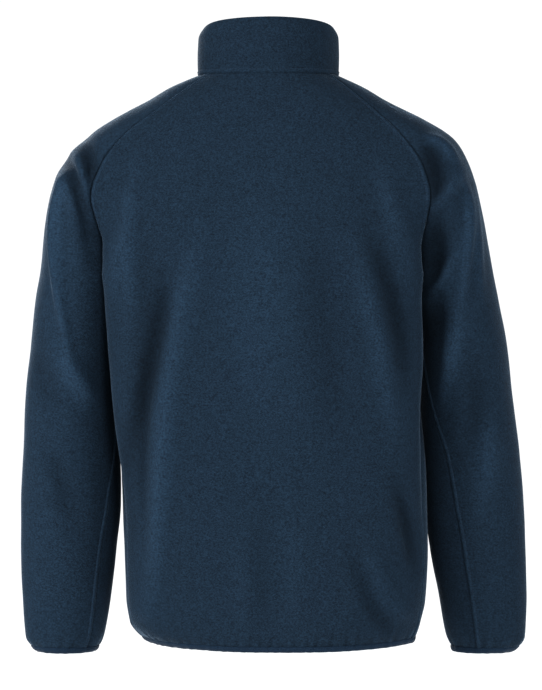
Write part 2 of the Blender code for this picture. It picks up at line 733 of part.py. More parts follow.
def add_panel(name, grid, normals, finish, gap_sides, thickness=CLOTH, **rounding):
    """A cloth panel: the grid is its outer surface, and the wall goes in from there."""
    outer = grid + pull_back(grid, normals, gap_sides, SEAM_GAP / 2)
    inner = outer - normals * thickness
    return add_object(name, *wall_mesh(outer, inner, **rounding), finish)


# ---------------------------------------------------------------- the jacket's pieces
def sew(pieces):
    """Shares the outward directions of panels along the seams that join them. The five panels
    are given clockwise from the right front, so each one's last column meets the next one's
    first column above the armpit, and the back meets the fronts below it."""
    front_right, sleeve_right, back, sleeve_left, front_left = pieces
    raglan, below = slice(0, RAGLAN_ROWS - 1), slice(RAGLAN_ROWS, None)
    armpit = RAGLAN_ROWS - 1
    for panel, beside in zip(pieces, pieces[1:]):
        share_normals((panel, (raglan, -1)), (beside, (raglan, 0)))
    for first, sleeve, last in (
        (front_right, sleeve_right, back),
        (back, sleeve_left, front_left),
    ):
        share_normals((first, (below, -1)), (last, (below, 0)))
        share_normals((sleeve, (below, 0)), (sleeve, (below, -1)))
        share_normals(
            (first, (armpit, -1)),
            (sleeve, (armpit, 0)),
            (sleeve, (armpit, -1)),
            (last, (armpit, 0)),
            lean=(0, 0, -3),
        )


def sew_across(pieces, collar_normals):
    """Shares directions along the neck seam: half way between the panels' and the collar's,
    evened out along the seam."""
    tops = [pieces[0][0]] + [piece[0][1:] for piece in pieces[1:]]
    directions = unit(np.vstack(tops) + collar_normals[-2])
    for _ in range(6):
        beside = (directions[:-2] + directions[2:]) / 2
        directions[1:-1] = unit(directions[1:-1] + beside)
    collar_normals[-1] = directions
    start = 0
    for piece in pieces:
        piece[0] = directions[start : start + piece.shape[1]]
        start += piece.shape[1] - 1


def add_fleece_pieces(fleece):
    """The back, the two fronts, the two sleeves and the collar."""
    grids = {
        "front_right": front_grid(RIGHT),
        "sleeve_right": sleeve_grid(RIGHT, sleeve_stations(), SLEEVE_COLUMNS),
        "back": back_grid(),
        "sleeve_left": sleeve_grid(LEFT, sleeve_stations(), SLEEVE_COLUMNS),
        "front_left": front_grid(LEFT),
    }
    normals = {name: normals_of(grid) for name, grid in grids.items()}
    sew(list(normals.values()))
    collar = collar_grid()
    collar_normals = normals_of(collar)
    sew_across(list(normals.values()), collar_normals)
    armpit, nudge = RAGLAN_ROWS - 1, np.array([0, SEAM_GAP / 2, 0])
    grids["back"][armpit, [0, -1]] += nudge
    grids["front_right"][armpit, -1] -= nudge
    grids["front_left"][armpit, 0] -= nudge
    open_edges = {
        "front_right": ("top", "last", "bottom"),
        "front_left": ("top", "first", "bottom"),
    }
    for name, grid in grids.items():
        edges = open_edges.get(name, ("top", "first", "last", "bottom"))
        add_panel(name, grid, normals[name], fleece, edges)
    add_panel(
        "collar", collar, collar_normals, fleece, ("bottom",), COLLAR_CLOTH, round_top=1.6 * MM
    )
    return normals


def add_bindings(normals, elastic):
    """The hem's and cuffs' elastic bindings: narrow lips that carry on the cloth's surface."""
    grid = hem_grid((HEM_EDGE_Z, HEM_Z))
    lip = normals_of(grid)
    parts = [normals[name][-1] for name in ("front_right", "back", "front_left")]
    lip[0] = np.vstack([parts[0], parts[1][1:-1], parts[2]])
    add_lip("hem_binding", grid, lip, elastic)
    for side, name in ((LEFT, "left"), (RIGHT, "right")):
        grid = sleeve_grid(side, (CUFF_EDGE, CUFF_END), SLEEVE_COLUMNS - 1, closed=True)
        if side == RIGHT:
            grid = np.roll(grid, 1, axis=1)
        lip = normals_of(grid, closed=True)
        lip[0] = normals[f"sleeve_{name}"][-1, :-1]
        add_lip(f"cuff_binding_{name}", grid, lip, elastic, closed=True)


def add_lip(name, grid, normals, finish, closed=False):
    """A binding's wall, a little thicker than the cloth it carries on, with a rounded end."""
    outer = grid + normals * (BINDING_CLOTH - CLOTH) / 2
    outer = outer + pull_back(grid, normals, ("top",), SEAM_GAP / 2, closed)
    inner = outer - normals * BINDING_CLOTH
    mesh = wall_mesh(outer, inner, closed=closed, round_bottom=1.2 * MM)
    return add_object(name, *mesh, finish)


def add_zip_tapes(tape):
    """The zip's two woven tapes: behind the fronts' edges, and within the collar's opening."""
    for side, name in ((LEFT, "left"), (RIGHT, "right")):
        grid = zip_line_grid(side, (TAPE_INNER, TAPE_OUTER))
        narrow = zip_line_grid(side, (TAPE_INNER, ZIP_HALF_OPENING - 0.6 * MM))
        grid[:5] = narrow[:5]
        normals = normals_of(grid)
        outer = grid - normals * TAPE_INSET
        add_object(f"zip_tape_{name}", *wall_mesh(outer, outer - normals * TAPE_CLOTH), tape)


def zip_frame(above, below):
    """A place on the zip from points just above and below it on the outer surface: the point
    between them, and the directions across, up and out."""
    along = unit(above - below)
    across = np.array([1.0, 0, 0])
    return (above + below) / 2, across, along, np.cross(across, along)


def placed(points, frame):
    """Points in millimetres across, along and out of the zip, set at the slider's place."""
    origin, across, along, out = frame
    points = np.asarray(points, float) * MM
    return origin + points[:, :1] * across + points[:, 1:2] * along + points[:, 2:] * out


def prism(outline, low, high):
    """A closed prism: an outline in the zip's plane, anticlockwise from outside, between two
    heights out of it."""
    count = len(outline)
    points = [(x, y, low) for x, y in outline] + [(x, y, high) for x, y in outline]
    sides = [(k, (k + 1) % count, count + (k + 1) % count, count + k) for k in range(count)]
    return points, [tuple(reversed(range(count))), tuple(range(count, 2 * count)), *sides]


def joined(name, solids, finish, frame, origin=(0, 0, 0)):
    """Overlapping closed solids made one body by Boolean unions."""
    objects = []
    for k, (points, faces) in enumerate(solids):
        points = placed(points, frame) - origin
        objects.append(add_object(f"{name}_{k}" if k else name, points, faces, finish))
        objects[-1].location = origin
    first, *others = objects
    for other in others:
        union = first.modifiers.new("join", "BOOLEAN")
        union.operation = "UNION"
        union.solver = "EXACT"
        union.object = other
        other.hide_render = True
        other.display_type = "WIRE"
    return first


def box(x0, x1, y0, y1, z0, z1):
    """A box as a prism."""
    return prism([(x0, y0), (x1, y0), (x1, y1), (x0, y1)], z0, z1)


def add_slider_and_pull(metal):
    """The slider with its bail, and the pull tab that hangs from the bail on its bar."""
    up = 1 - SLIDER_BELOW_TOP * MM / (COLLAR_FRONT_Z - NECK_FRONT_Z)
    middle = np.array([180.0])
    ends = [collar_point(middle, np.array([at]))[0] for at in (up + 0.04, up - 0.04)]
    frame = zip_frame(*ends)
    low = -TAPE_INSET / MM - TAPE_CLOTH / MM / 2 - SLIDER_SPACE / 2
    high = low + SLIDER_SPACE
    half, wide, narrow = SLIDER_LENGTH / 2, SLIDER_WIDE / 2, SLIDER_NARROW / 2
    shoe = [(-narrow, -half), (narrow, -half), (wide, 0), (wide, half), (-wide, half), (-wide, 0)]
    top = high + SLIDER_PLATE
    bridge = SLIDER_BRIDGE_WIDTH / 2
    bail, wire = BAIL_WIDTH / 2, BAIL_WIRE
    reach = BAIL_LENGTH / 2
    solids = [
        prism(shoe, low - SLIDER_PLATE, low),
        prism(shoe, high, top),
        box(-bridge, bridge, 1.5, half - 0.5, low - 0.4, high + 0.4),
        box(-bail, bail, -reach, -reach + wire, top - 0.4, top + BAIL_HEIGHT),
        box(-bail, bail, reach - wire, reach, top - 0.4, top + BAIL_HEIGHT),
        box(-bail, bail, -reach + 0.2, reach - 0.2, top + BAIL_HEIGHT - wire, top + BAIL_HEIGHT),
    ]
    joined("zip_slider", solids, metal, frame)

    # The bar lies at the bail's lower end, and the tab hangs down flat from it.
    bar = PULL_BAR / 2
    axis_y = -reach + wire + 0.35 + bar
    axis_z = top + 0.35 + bar
    width, eye = PULL_WIDTH / 2, PULL_EYE_WIDTH / 2
    thick = PULL_THICKNESS / 2
    end = axis_y - PULL_LENGTH
    foot = axis_y - PULL_EYE_LENGTH
    taper = width - 1.6
    tab = [(-taper, end), (taper, end), (width, end + 5)]
    tab += [(eye + 1.0, foot), (-eye - 1.0, foot), (-width, end + 5)]
    pull = [
        prism(tab, axis_z - thick, axis_z + thick),
        box(eye, eye + 1.1, foot - 0.5, axis_y + bar, axis_z - bar, axis_z + bar),
        box(-eye - 1.1, -eye, foot - 0.5, axis_y + bar, axis_z - bar, axis_z + bar),
        box(-eye - 0.2, eye + 0.2, axis_y - bar, axis_y + bar, axis_z - bar, axis_z + bar),
    ]
    hinge = placed([(0, axis_y, axis_z)], frame)[0]
    joined("zip_pull", pull, metal, frame, hinge)
    print("pull hinge", [round(float(v), 6) for v in hinge])


def add_zip_box(metal):
    """The stop box at the zip's lower end, in front of the tapes."""
    ends = []
    for z in (TAPE_END_Z + BOX_HEIGHT * MM, TAPE_END_Z):
        row = (z, z + hem_rise(z), 0.0)
        ends.append(body_row(FRONT, LEFT, *row, np.zeros(1))[0])
    frame = zip_frame(*ends)
    low = 0.5 - TAPE_INSET / MM
    half, side = BOX_HEIGHT / 2, BOX_WIDTH / 2
    outline = [(-side, -half), (side, -half), (side, half - 1.5), (side - 1.5, half)]
    outline += [(1.5 - side, half), (-side, half - 1.5)]
    joined("zip_box", [prism(outline, low, low + BOX_DEPTH)], metal, frame)


def main():
    for old in list(bpy.data.objects):
        bpy.data.objects.remove(old)
    fleece = material("fleece", (0.0153, 0.0319, 0.0562), 0.95)
    elastic = material("elastic", (0.010, 0.022, 0.040), 0.8)
    tape = material("zip_tape", (0.011, 0.024, 0.044), 0.75)
    metal = material("zip_metal", (0.05, 0.055, 0.065), 0.38, 0.9)
    normals = add_fleece_pieces(fleece)
    add_bindings(normals, elastic)
    add_zip_tapes(tape)
    add_slider_and_pull(metal)
    add_zip_box(metal)


main()
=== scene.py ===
# %% [markdown]
# # A fleece zip jacket, sewn from six panels
#
# A garment is not one surface. It is a handful of flat panels whose edges are sewn together, and
# most of what the eye reads as "cloth" happens at those edges: the ditch where two panels meet,
# the soft welt where the seam's spare cloth is folded under, the row of stitches beside it.
#
# So each panel here is a grid of points computed from a few measured sections, its columns are
# crowded together beside the seams, and the seams are pressed into it by a profile that only
# depends on the distance from the edge. The CAD model carries the same panels as plain walls.
# Each fine panel stands for its CAD wall, and the zip's metal parts are the CAD model's own.

import math
from types import SimpleNamespace

import bpy
import numpy as np
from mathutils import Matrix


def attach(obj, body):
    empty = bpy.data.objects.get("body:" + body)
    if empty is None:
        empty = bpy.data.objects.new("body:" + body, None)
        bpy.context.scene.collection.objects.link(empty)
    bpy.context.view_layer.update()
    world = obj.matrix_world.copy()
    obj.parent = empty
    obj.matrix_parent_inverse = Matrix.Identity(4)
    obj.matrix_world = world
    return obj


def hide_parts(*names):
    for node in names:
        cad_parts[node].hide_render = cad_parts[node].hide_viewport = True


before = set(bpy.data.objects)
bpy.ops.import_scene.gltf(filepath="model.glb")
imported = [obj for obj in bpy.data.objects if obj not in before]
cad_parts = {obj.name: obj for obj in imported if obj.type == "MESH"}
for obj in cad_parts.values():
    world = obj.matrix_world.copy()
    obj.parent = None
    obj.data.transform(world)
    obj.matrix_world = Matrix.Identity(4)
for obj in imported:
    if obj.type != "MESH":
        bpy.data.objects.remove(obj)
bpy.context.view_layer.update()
MM = 0.001
LEFT, RIGHT = 1.0, -1.0
BACK, FRONT = 1.0, -1.0
print("CAD nodes:", ", ".join(sorted(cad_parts)))

# %% [markdown]
# ## Sizes and sections
#
# Lengths are in metres and +Z is up. The front faces -Y and the wearer's left arm is at +X. The
# origin is the middle of the neck base, level with the side neck points.
#
# A body has no simple formula, but its horizontal sections do: each is close to an ellipse that
# has been squared a little. A short table of sections, joined by a smooth curve from row to row,
# gives the whole torso. A sleeve is made in the same way, from sections square to the arm. A cloth
# simulation on a figure could make such a form too, but a table keeps the sizes that were meant.

# %% Sizes
CLOTH = 2.6 * MM
AXIS_Y = -4 * MM  # the depth of the body's middle
ARMPIT_Z = -258 * MM
ARMPIT_SHIFT = -4.4 * MM  # the left armpit lies this much nearer the middle, the right one further
SLEEVE_CLEARANCE = 3.0 * MM  # the air between the body and a hanging sleeve
HEM_EDGE_Z = -716.5 * MM  # where the fleece meets the binding
HEM_Z = -723 * MM
HEM_RISE = 3 * MM  # the hem is this much higher at the side seams
RISE_TOP_Z = -640 * MM  # where that rise begins
ZIP_LEAN = -13 * MM  # the zip's lower end hangs this far to the wearer's right
ZIP_HALF_OPENING = 6.6 * MM  # from the zip's middle to a front's folded edge
CUFF_EDGE = 1.986  # places along a sleeve: 0 at the neck, 1 at the armpit and 2 at its end
CUFF_END = 2.0

NECK_HALF_WIDTH = 90 * MM
NECK_BACK_DEPTH = 78 * MM
NECK_FRONT_DEPTH = 94 * MM
NECK_BACK_Z = -3.5 * MM
NECK_FRONT_Z = -52 * MM
RAGLAN_BACK_TURN = 60.0  # degrees round the neck from centre back
RAGLAN_FRONT_TURN = 120.0
print("from armpit to hem:", round((ARMPIT_Z - HEM_Z) / MM), "mm")


# %% Sections
def table(columns, *rows):
    """A short table: each named column as an array."""
    values = np.array(rows, float).T
    return SimpleNamespace(**dict(zip(columns.split(), values)))


# The body, in mm. A section's middle lies `lean` to the wearer's left. The section is twice `half`
# wide and reaches to `back` and `front` in y. Its power is 2 for an ellipse and higher where it is
# squarer.
BODY = table(
    "z lean half back front power",
    (-723, -16.5, 167, 119, -123.5, 2.15),
    (-716.5, -13.2, 172.5, 121.5, -126, 2.2),
    (-707, -9.7, 179.5, 124, -128.5, 2.35),
    (-694, -7.6, 186, 125, -130.5, 2.45),
    (-671, -8, 192.4, 126, -131.5, 2.6),
    (-607, -8.6, 195, 126, -133, 2.65),
    (-543, -7.4, 197.4, 125.5, -134.5, 2.8),
    (-479, -4, 201.5, 126, -136, 3.0),
    (-415, 0.8, 204, 127, -137, 3.2),
    (-350, 3, 206, 128.5, -137.5, 3.3),
    (-287, 6.5, 206.5, 130, -137.5, 3.2),
    (-247, 8.5, 213, 130.5, -137, 3.0),
    (-222, 10, 221, 130, -136, 2.9),
    (-200, 10.5, 223, 129, -134, 2.8),
    (-160, 10.5, 224, 124.5, -129, 2.6),
    (-120, 8.5, 223, 117.5, -120.5, 2.45),
    (-80, 7, 208, 107, -110, 2.35),
    (-45, 3.5, 174, 94.5, -100, 2.3),
    (0, 0, 92, 73, -82, 2.2),
)
# The side seams: their distance from the section's middle, and their depth on each side.
SIDE_SEAM = table(
    "z x left_y right_y",
    (-722.5, 166, 22, 40),
    (-694, 183, 22, 42),
    (-607, 188, 24, 46),
    (-543, 186.5, 22, 46),
    (-479, 185.6, 16, 38),
    (-415, 181, 10, 24),
    (-350, 179, 4, 10),
    (-287, 178, -2, 0),
    (-258, 181, -4, -4),
)
# The raglan seams, from the armpit up to the neck.
RAGLAN_BACK = table(
    "z x y",
    (-258, 181, -4),
    (-233, 193, 34),
    (-192, 206, 68),
    (-159, 212.5, 81),
    (-119.5, 201, 82),
    (-80.5, 173.5, 76),
    (-44.5, 133, 63),
    (-0.9, 77.9, 35),
)
RAGLAN_FRONT = table(
    "z x y",
    (-258, 181, -4),
    (-233, 190, -40),
    (-200, 196, -74),
    (-165, 195, -98),
    (-125, 182, -104),
    (-85, 158, -98),
    (-50, 122, -83),
    (-18.4, 77.9, -51),
)
# The arms. `left` and `right` are their outer lines, `tilt` is how steeply a section's outward
# direction rises, and the last two are the underarm seam's turn round the section, in degrees
# from the outer line backwards.
SLEEVE = table(
    "at z left right tilt half_width half_depth y seam_left seam_right",
    (0.00, 0, 90, 90, 62, 12, 43, -8, 180, 180),
    (0.10, -14.5, 125.5, 121.5, 61, 18, 53, -8.5, 180, 180),
    (0.19, -31, 153, 150, 60, 23, 62, -9, 180, 180),
    (0.343, -56.3, 200, 200, 57, 29, 76, -10, 180, 180),
    (0.47, -82, 236.5, 238, 48, 34, 86, -11, 180, 180),
    (0.568, -107.5, 259.5, 253.8, 38, 38, 91, -12, 180, 180),
    (0.652, -133, 273.5, 263.5, 29, 42, 92, -12, 180, 180),
    (0.804, -184.3, 285.5, 276, 16, 49, 88, -12, 180, 180),
    (1.00, -252, 293.5, 288.5, 6, 54.5, 80, -12, 180, 180),
    (1.072, -287, 299.5, 295, 5, 55, 78, -13, 179, 177),
    (1.203, -351, 306.5, 307, 4, 56, 74, -15, 176, 166),
    (1.335, -415, 312.3, 314.6, 3, 58.7, 69, -17, 169, 148),
    (1.467, -479, 315.8, 322.4, 2, 62.2, 63.5, -20, 158, 126),
    (1.598, -543, 319, 328.3, 1, 64, 58, -23, 143, 117),
    (1.730, -607, 319.6, 331.2, 0, 61.5, 53.5, -27, 137, 112),
    (1.861, -671, 317.2, 333.7, 0, 56.5, 49.5, -31, 135, 111),
    (1.939, -709, 315.3, 332, 0, 52.5, 47, -33, 135, 109),
    (1.966, -722, 314, 330.5, 0, 50, 44.5, -34, 135, 109),
    (1.986, -731.5, 308, 324.5, 0, 44.5, 40.5, -34.5, 135, 109),
    (2.000, -738.5, 301.5, 315, 0, 39, 37, -35, 135, 109),
)
# The same rows from the cuff up, because a curve through a table needs rising heights.
SLEEVE_UP = SimpleNamespace(**{name: values[::-1] for name, values in vars(SLEEVE).items()})
print("body sections:", len(BODY.z), " sleeve sections:", len(SLEEVE.at))

# %% [markdown]
# ## Folds
#
# Worn fleece falls in a few large soft folds, because the cloth is thick. They start where it is
# held, at the shoulders and the armpits, and run down and outwards as they open. They could be
# sculpted by hand. As rows of a table they are easy to read, to move and to take out again.
#
# Each row has a panel's face, a bend through three points (x and z in mm), the width of the fold's
# bell and its height: above 0 a ridge, below 0 a trough.

# %% Folds
FOLDS = "face x0 z0 x1 z1 x2 z2 width height"
BODY_FOLDS = table(
    FOLDS,
    (BACK, 156, -190, 153, -330, 171, -570, 15, -2.5),
    (BACK, 130, -262, 141, -350, 177, -490, 12, -8),
    (BACK, 150, -370, 155, -480, 153, -600, 7, -4),
    (BACK, 169, -130, 175, -220, 171, -310, 10, 5),
    (BACK, 84, -210, 119, -370, 158, -665, 14, 6),
    (BACK, 120, -400, 130, -520, 148, -672, 10, 7),
    (BACK, 182, -205, 192, -245, 196, -300, 10, 3),
    (BACK, -126, -205, -156, -300, -170, -395, 12, -7),
    (BACK, -136, -110, -158, -190, -178, -280, 13, 4),
    (BACK, -104, -220, -136, -340, -160, -480, 13, 4.5),
    (BACK, -122, -590, -148, -655, -178, -690, 9, 3),
    (BACK, -102, -596, -129, -668, -158, -703, 9, -4),
    (BACK, -156, -515, -172, -572, -182, -625, 8, -7),
    (BACK, 8, -560, 8, -640, 6, -706, 12, -1.5),
    (BACK, 42, -560, 32, -640, 36, -706, 12, 1.6),
    (BACK, -26, -540, -32, -620, -26, -700, 14, 1.6),
    (BACK, 0, -150, 10, -300, -6, -460, 44, 3),
    (BACK, -52, -200, -70, -330, -84, -470, 22, -2.5),
    (FRONT, 150, -180, 128, -330, 120, -520, 14, 7),
    (FRONT, 172, -230, 158, -350, 150, -480, 12, -6),
    (FRONT, -146, -190, -130, -340, -124, -500, 14, 7),
    (FRONT, -168, -240, -155, -360, -146, -470, 12, -6),
    (FRONT, 92, -560, 104, -640, 128, -700, 13, 5),
    (FRONT, 66, -540, 76, -630, 92, -700, 12, -4),
    (FRONT, -90, -550, -108, -640, -134, -700, 13, 5),
    (FRONT, -62, -560, -76, -640, -96, -704, 12, -4),
    (FRONT, 70, -120, 82, -230, 74, -360, 20, 3),
    (FRONT, -72, -130, -84, -240, -70, -370, 20, 3),
)
LEFT_FOLDS = table(
    FOLDS,
    (BACK, 247, -102, 231, -134, 209, -200, 6, 6),
    (BACK, 262, -108, 241, -144, 220, -235, 10, -9),
    (BACK, 233, -84, 221, -122, 208, -165, 10, -12),
    (BACK, 255, -128, 268, -218, 250, -360, 6, 12),
    (BACK, 262, -128, 250, -158, 230, -195, 7, 4),
    (BACK, 262, -354, 238, -390, 212, -424, 14, 9),
    (BACK, 284, -470, 262, -520, 246, -580, 15, -4),
    (BACK, 300, -330, 284, -390, 268, -430, 15, -3.5),
    (FRONT, 262, -140, 248, -230, 234, -330, 11, 6),
    (FRONT, 280, -170, 270, -260, 250, -340, 11, -5),
    (FRONT, 226, -400, 262, -440, 288, -450, 13, -5),
    (FRONT, 232, -450, 264, -480, 292, -520, 13, 5),
)
RIGHT_FOLDS = table(
    FOLDS,
    (BACK, -188, -82, -218, -94, -240, -126, 7.5, 7),
    (BACK, -196, -88, -206, -130, -206, -178, 14, -13),
    (BACK, -244, -128, -220, -156, -194, -190, 8, 6.5),
    (BACK, -208, -185, -212, -225, -203, -275, 12, -9),
    (BACK, -238, -224, -215, -262, -190, -300, 8, 6),
    (BACK, -214, -288, -207, -318, -200, -350, 11, -9),
    (BACK, -245, -138, -251, -205, -238, -312, 6, 8),
    (BACK, -258, -145, -263, -210, -268, -285, 6, 5),
    (BACK, -276, -440, -280, -490, -270, -560, 14, 4.5),
    (BACK, -252, -350, -262, -420, -250, -480, 14, -4),
    (BACK, -240, -318, -224, -368, -208, -440, 13, 9),
    (FRONT, -262, -150, -246, -230, -232, -330, 11, 6),
    (FRONT, -276, -180, -266, -260, -248, -340, 11, -5),
    (FRONT, -226, -400, -262, -436, -290, -445, 13, -5),
    (FRONT, -234, -450, -268, -480, -296, -520, 13, 5),
)
print("folds:", len(BODY_FOLDS.face), "on the body,", len(LEFT_FOLDS.face), "and",
      len(RIGHT_FOLDS.face), "on the sleeves")


# %% [markdown]
# ## Curves through a table
#
# A spline through all of a table's rows would be smoother still, but it can bulge between two
# measured ones. `smooth` joins the rows with cubics whose slopes never overshoot a row. It takes a
# whole grid of heights at once, as everything below does.

# %% Curves through a table
def smooth(xs, ys, at):
    """A cubic between each pair of rows; at a row its slope is the harmonic mean of the slopes on
    its two sides, or level where they differ in sign."""
    at = np.clip(at, xs[0], xs[-1])
    step = np.diff(xs)
    rise = np.diff(ys) / step
    product = rise[:-1] * rise[1:]
    total = np.where(product > 0, rise[:-1] + rise[1:], 1.0)
    slope = np.empty(len(xs))
    slope[1:-1] = np.where(product > 0, 2 * product / total, 0.0)
    slope[0], slope[-1] = rise[0], rise[-1]
    k = np.clip(np.searchsorted(xs, at, side="right") - 1, 0, len(xs) - 2)
    t = (at - xs[k]) / step[k]
    start = (1 + 2 * t) * (1 - t) ** 2 * ys[k] + t * (1 - t) ** 2 * step[k] * slope[k]
    end = t**2 * (3 - 2 * t) * ys[k + 1] + t**2 * (t - 1) * step[k] * slope[k + 1]
    return start + end


def column(of, name, z):
    """A table's column at heights in metres, in metres."""
    return smooth(of.z, getattr(of, name), np.asarray(z) / MM) * MM


def unit(vectors):
    """Each vector at length 1."""
    return vectors / np.maximum(np.linalg.norm(vectors, axis=-1, keepdims=True), 1e-12)


def ease(t):
    """0 to 1 with flat ends: three t squared less two t cubed."""
    t = np.clip(t, 0, 1)
    return t * t * (3 - 2 * t)


BEND_POINTS = 25


def fold_height(folds, face, x, z):
    """The sum of the folds' bells. Each is its height times exp(-(distance / width) squared), for
    the distance to its quadratic bend, times the sine of the way along it to the power 0.7, so
    that it fades out at both ends."""
    height = np.zeros_like(x)
    t = np.linspace(0, 1, BEND_POINTS)[:, None]
    for k in np.flatnonzero(folds.face == face):
        start = np.array((folds.x0[k], folds.z0[k])) * MM
        middle = np.array((folds.x1[k], folds.z1[k])) * MM
        end = np.array((folds.x2[k], folds.z2[k])) * MM
        path = (1 - t) ** 2 * start + 2 * t * (1 - t) * (2 * middle - (start + end) / 2) + t**2 * end
        away = np.hypot(x[..., None] - path[:, 0], z[..., None] - path[:, 1])
        nearest = away.argmin(-1)
        step = np.gradient(path, axis=0)[nearest]
        size = np.linalg.norm(step, axis=-1)
        aside, ahead = x - path[nearest, 0], z - path[nearest, 1]
        along = (aside * step[..., 0] + ahead * step[..., 1]) / size
        across = (aside * step[..., 1] - ahead * step[..., 0]) / size
        beyond = np.clip(np.abs(along) - size / 2, 0, None)
        distance = np.hypot(across, beyond) / (folds.width[k] * MM)
        way = t[nearest, 0] + along / size / (BEND_POINTS - 1)
        fade = np.sin(np.pi * np.clip(way, 0.04, 0.96)) ** 0.7
        height += folds.height[k] * MM * np.exp(-(distance**2)) * fade
    return height


print("body half width at the chest:", round(float(column(BODY, "half", -0.2)) / MM), "mm")


# %% [markdown]
# ## The body's surface
#
# A few rings with a skin over them would give a body too, but a formula can be asked for any point
# of it, such as one 6 mm from a seam. At each height the section is a superellipse. Its edge has to
# land exactly on the seam, so the last part of the section is eased across to the seam's own
# point. Beside a hanging sleeve the body is pressed in, just clear of it, as a real arm does.

# %% The body's surface
def neck_point(turn):
    """The neck seam at degrees round from centre back: half an ellipse behind and a deeper half in
    front, where it also dips to the throat."""
    angle = np.radians(turn)
    back = np.cos(angle) >= 0
    depth = np.where(back, NECK_BACK_DEPTH, NECK_FRONT_DEPTH) * np.cos(angle)
    dip = np.where(
        back, NECK_BACK_Z * np.cos(angle) ** 2, NECK_FRONT_Z * np.abs(np.cos(angle)) ** 1.5
    )
    return np.stack([NECK_HALF_WIDTH * np.sin(angle), AXIS_Y + depth, dip], -1)


def edge_of(face, side, z):
    """Where a body panel ends at height z, from the body's middle. Round the armpit the end is
    shifted by a bell 70 mm wide."""
    raglan = RAGLAN_BACK if face == BACK else RAGLAN_FRONT
    side_y = "left_y" if side == LEFT else "right_y"
    x = np.where(z < ARMPIT_Z, column(SIDE_SEAM, "x", z), column(raglan, "x", z))
    x = x + side * ARMPIT_SHIFT * np.exp(-(((z - ARMPIT_Z) / (70 * MM)) ** 2))
    y = np.where(z < ARMPIT_Z, column(SIDE_SEAM, side_y, z), column(raglan, "y", z))
    return x, y


def sleeve_inside(side, y, z):
    """How far out the hanging sleeve's inner face lies beside the body: its outer line less half
    its width times one plus the ellipse's reach at that depth. From just short of the ellipse's
    front and back ends it moves further out."""
    tilt = np.radians(smooth(SLEEVE_UP.z, SLEEVE_UP.tilt, z / MM))
    level = z + 2 * column(SLEEVE_UP, "half_width", z) * np.sin(tilt)
    away = (y - column(SLEEVE_UP, "y", level)) / column(SLEEVE_UP, "half_depth", level)
    reach = np.sqrt(np.clip(1 - away**2, 0, 1))
    outer = column(SLEEVE_UP, "left" if side == LEFT else "right", level)
    inside = outer - column(SLEEVE_UP, "half_width", level) * (1 + reach)
    return inside + 40 * MM * np.clip(np.abs(away) - 0.97, 0, None)


def soft_positive(value, width):
    """The value where it is positive and 0 where it is negative, rounded over this width."""
    return width * np.logaddexp(0, value / width)


SEAM_EASE = 0.55  # from this share of a section on, it is eased across to its seam
SOFT_PRESS = 1.5 * MM  # the width over which a sleeve's press on the body sets in


def body_point(face, side, z, t):
    """The superellipse |x/a|^p + |y/b|^p = 1 at height z, from the middle (t = 0) to the seam
    (t = 1), plus the folds along its outward direction, less what the sleeve presses in."""
    half = column(BODY, "half", z)
    depth = face * (column(BODY, "back" if face == BACK else "front", z) - AXIS_Y)
    power = smooth(BODY.z, BODY.power, z / MM)
    edge_x, edge_y = edge_of(face, side, z)
    edge_y = face * (edge_y - AXIS_Y)
    end = np.arctan2(edge_x / half, edge_y / depth)

    def ring(angle):
        sine, cosine = np.sin(angle), np.cos(angle)
        reach = (np.abs(sine) ** power + np.abs(cosine) ** power) ** (-1 / power)
        return half * reach * sine, depth * reach * cosine

    x, y = ring(t * end)
    last_x, last_y = ring(end)
    pull = np.clip((t - SEAM_EASE) / (1 - SEAM_EASE), 0, 1) ** 3
    x = x + pull * (edge_x - last_x)
    y = y + pull * (edge_y - last_y)
    outward = unit(np.stack([side * x / half**2, face * y / depth**2, 0 * x], -1))
    lean = column(BODY, "lean", z)
    if face == FRONT:
        down = np.clip((NECK_FRONT_Z - z) / (NECK_FRONT_Z - HEM_Z), 0, 1)
        lean = lean + (1 - t) ** 2 * (ZIP_LEAN * down - lean)
    point = np.stack([side * x + lean, AXIS_Y + face * y, z + 0 * x], -1)
    height = fold_height(BODY_FOLDS, face, point[..., 0], point[..., 2])
    # Below the armpit the folds fade out over the last 15% beside the side seam.
    beside_seam = ease((-220 * MM - z) / (38 * MM)) * (1 - ease((1 - t) / 0.15))
    point = point + outward * (height * (1 - beside_seam))[..., None]
    # The room for the sleeve is half as wide again at the armpit, and none at the raglan seam.
    near_sleeve = ease((-185 * MM - z) / (45 * MM))
    room = SLEEVE_CLEARANCE * (1 + 0.5 * np.exp(-(((z - ARMPIT_Z - 8 * MM) / (22 * MM)) ** 2)))
    clearance = room * np.where(z < ARMPIT_Z, 1, np.clip(25 * (1 - t), 0, 1))
    over = side * point[..., 0] - sleeve_inside(side, point[..., 1], z) + clearance
    point[..., 0] -= side * near_sleeve * soft_positive(over, SOFT_PRESS)
    return point


def hem_rise(z):
    """How much higher a row near the hem lies at the side seams than in the middle, eased in from
    the height where the rise begins."""
    return HEM_RISE * ease((RISE_TOP_Z - z) / (HEM_RISE + RISE_TOP_Z - HEM_Z))


def body_row(face, side, rows, t):
    """Rows of a body panel at t. A row's height runs from its middle's to its edge's as t squared,
    and the rows near the neck still carry the neck seam's curve."""
    middle, edge, neck = (values[:, None] for values in rows)
    point = body_point(face, side, middle + (edge - middle) * t**2, t)
    if face == BACK:
        turn = t * RAGLAN_BACK_TURN
        top = NECK_BACK_Z + (RAGLAN_BACK.z[-1] * MM - NECK_BACK_Z) * t**2
    else:
        turn = 180 - t * (180 - RAGLAN_FRONT_TURN)
        top = NECK_FRONT_Z + (RAGLAN_FRONT.z[-1] * MM - NECK_FRONT_Z) * t**2
    seam = neck_point(turn) * (side, 1, 1)
    return point + neck[..., None] * (seam - body_point(face, side, top, t))


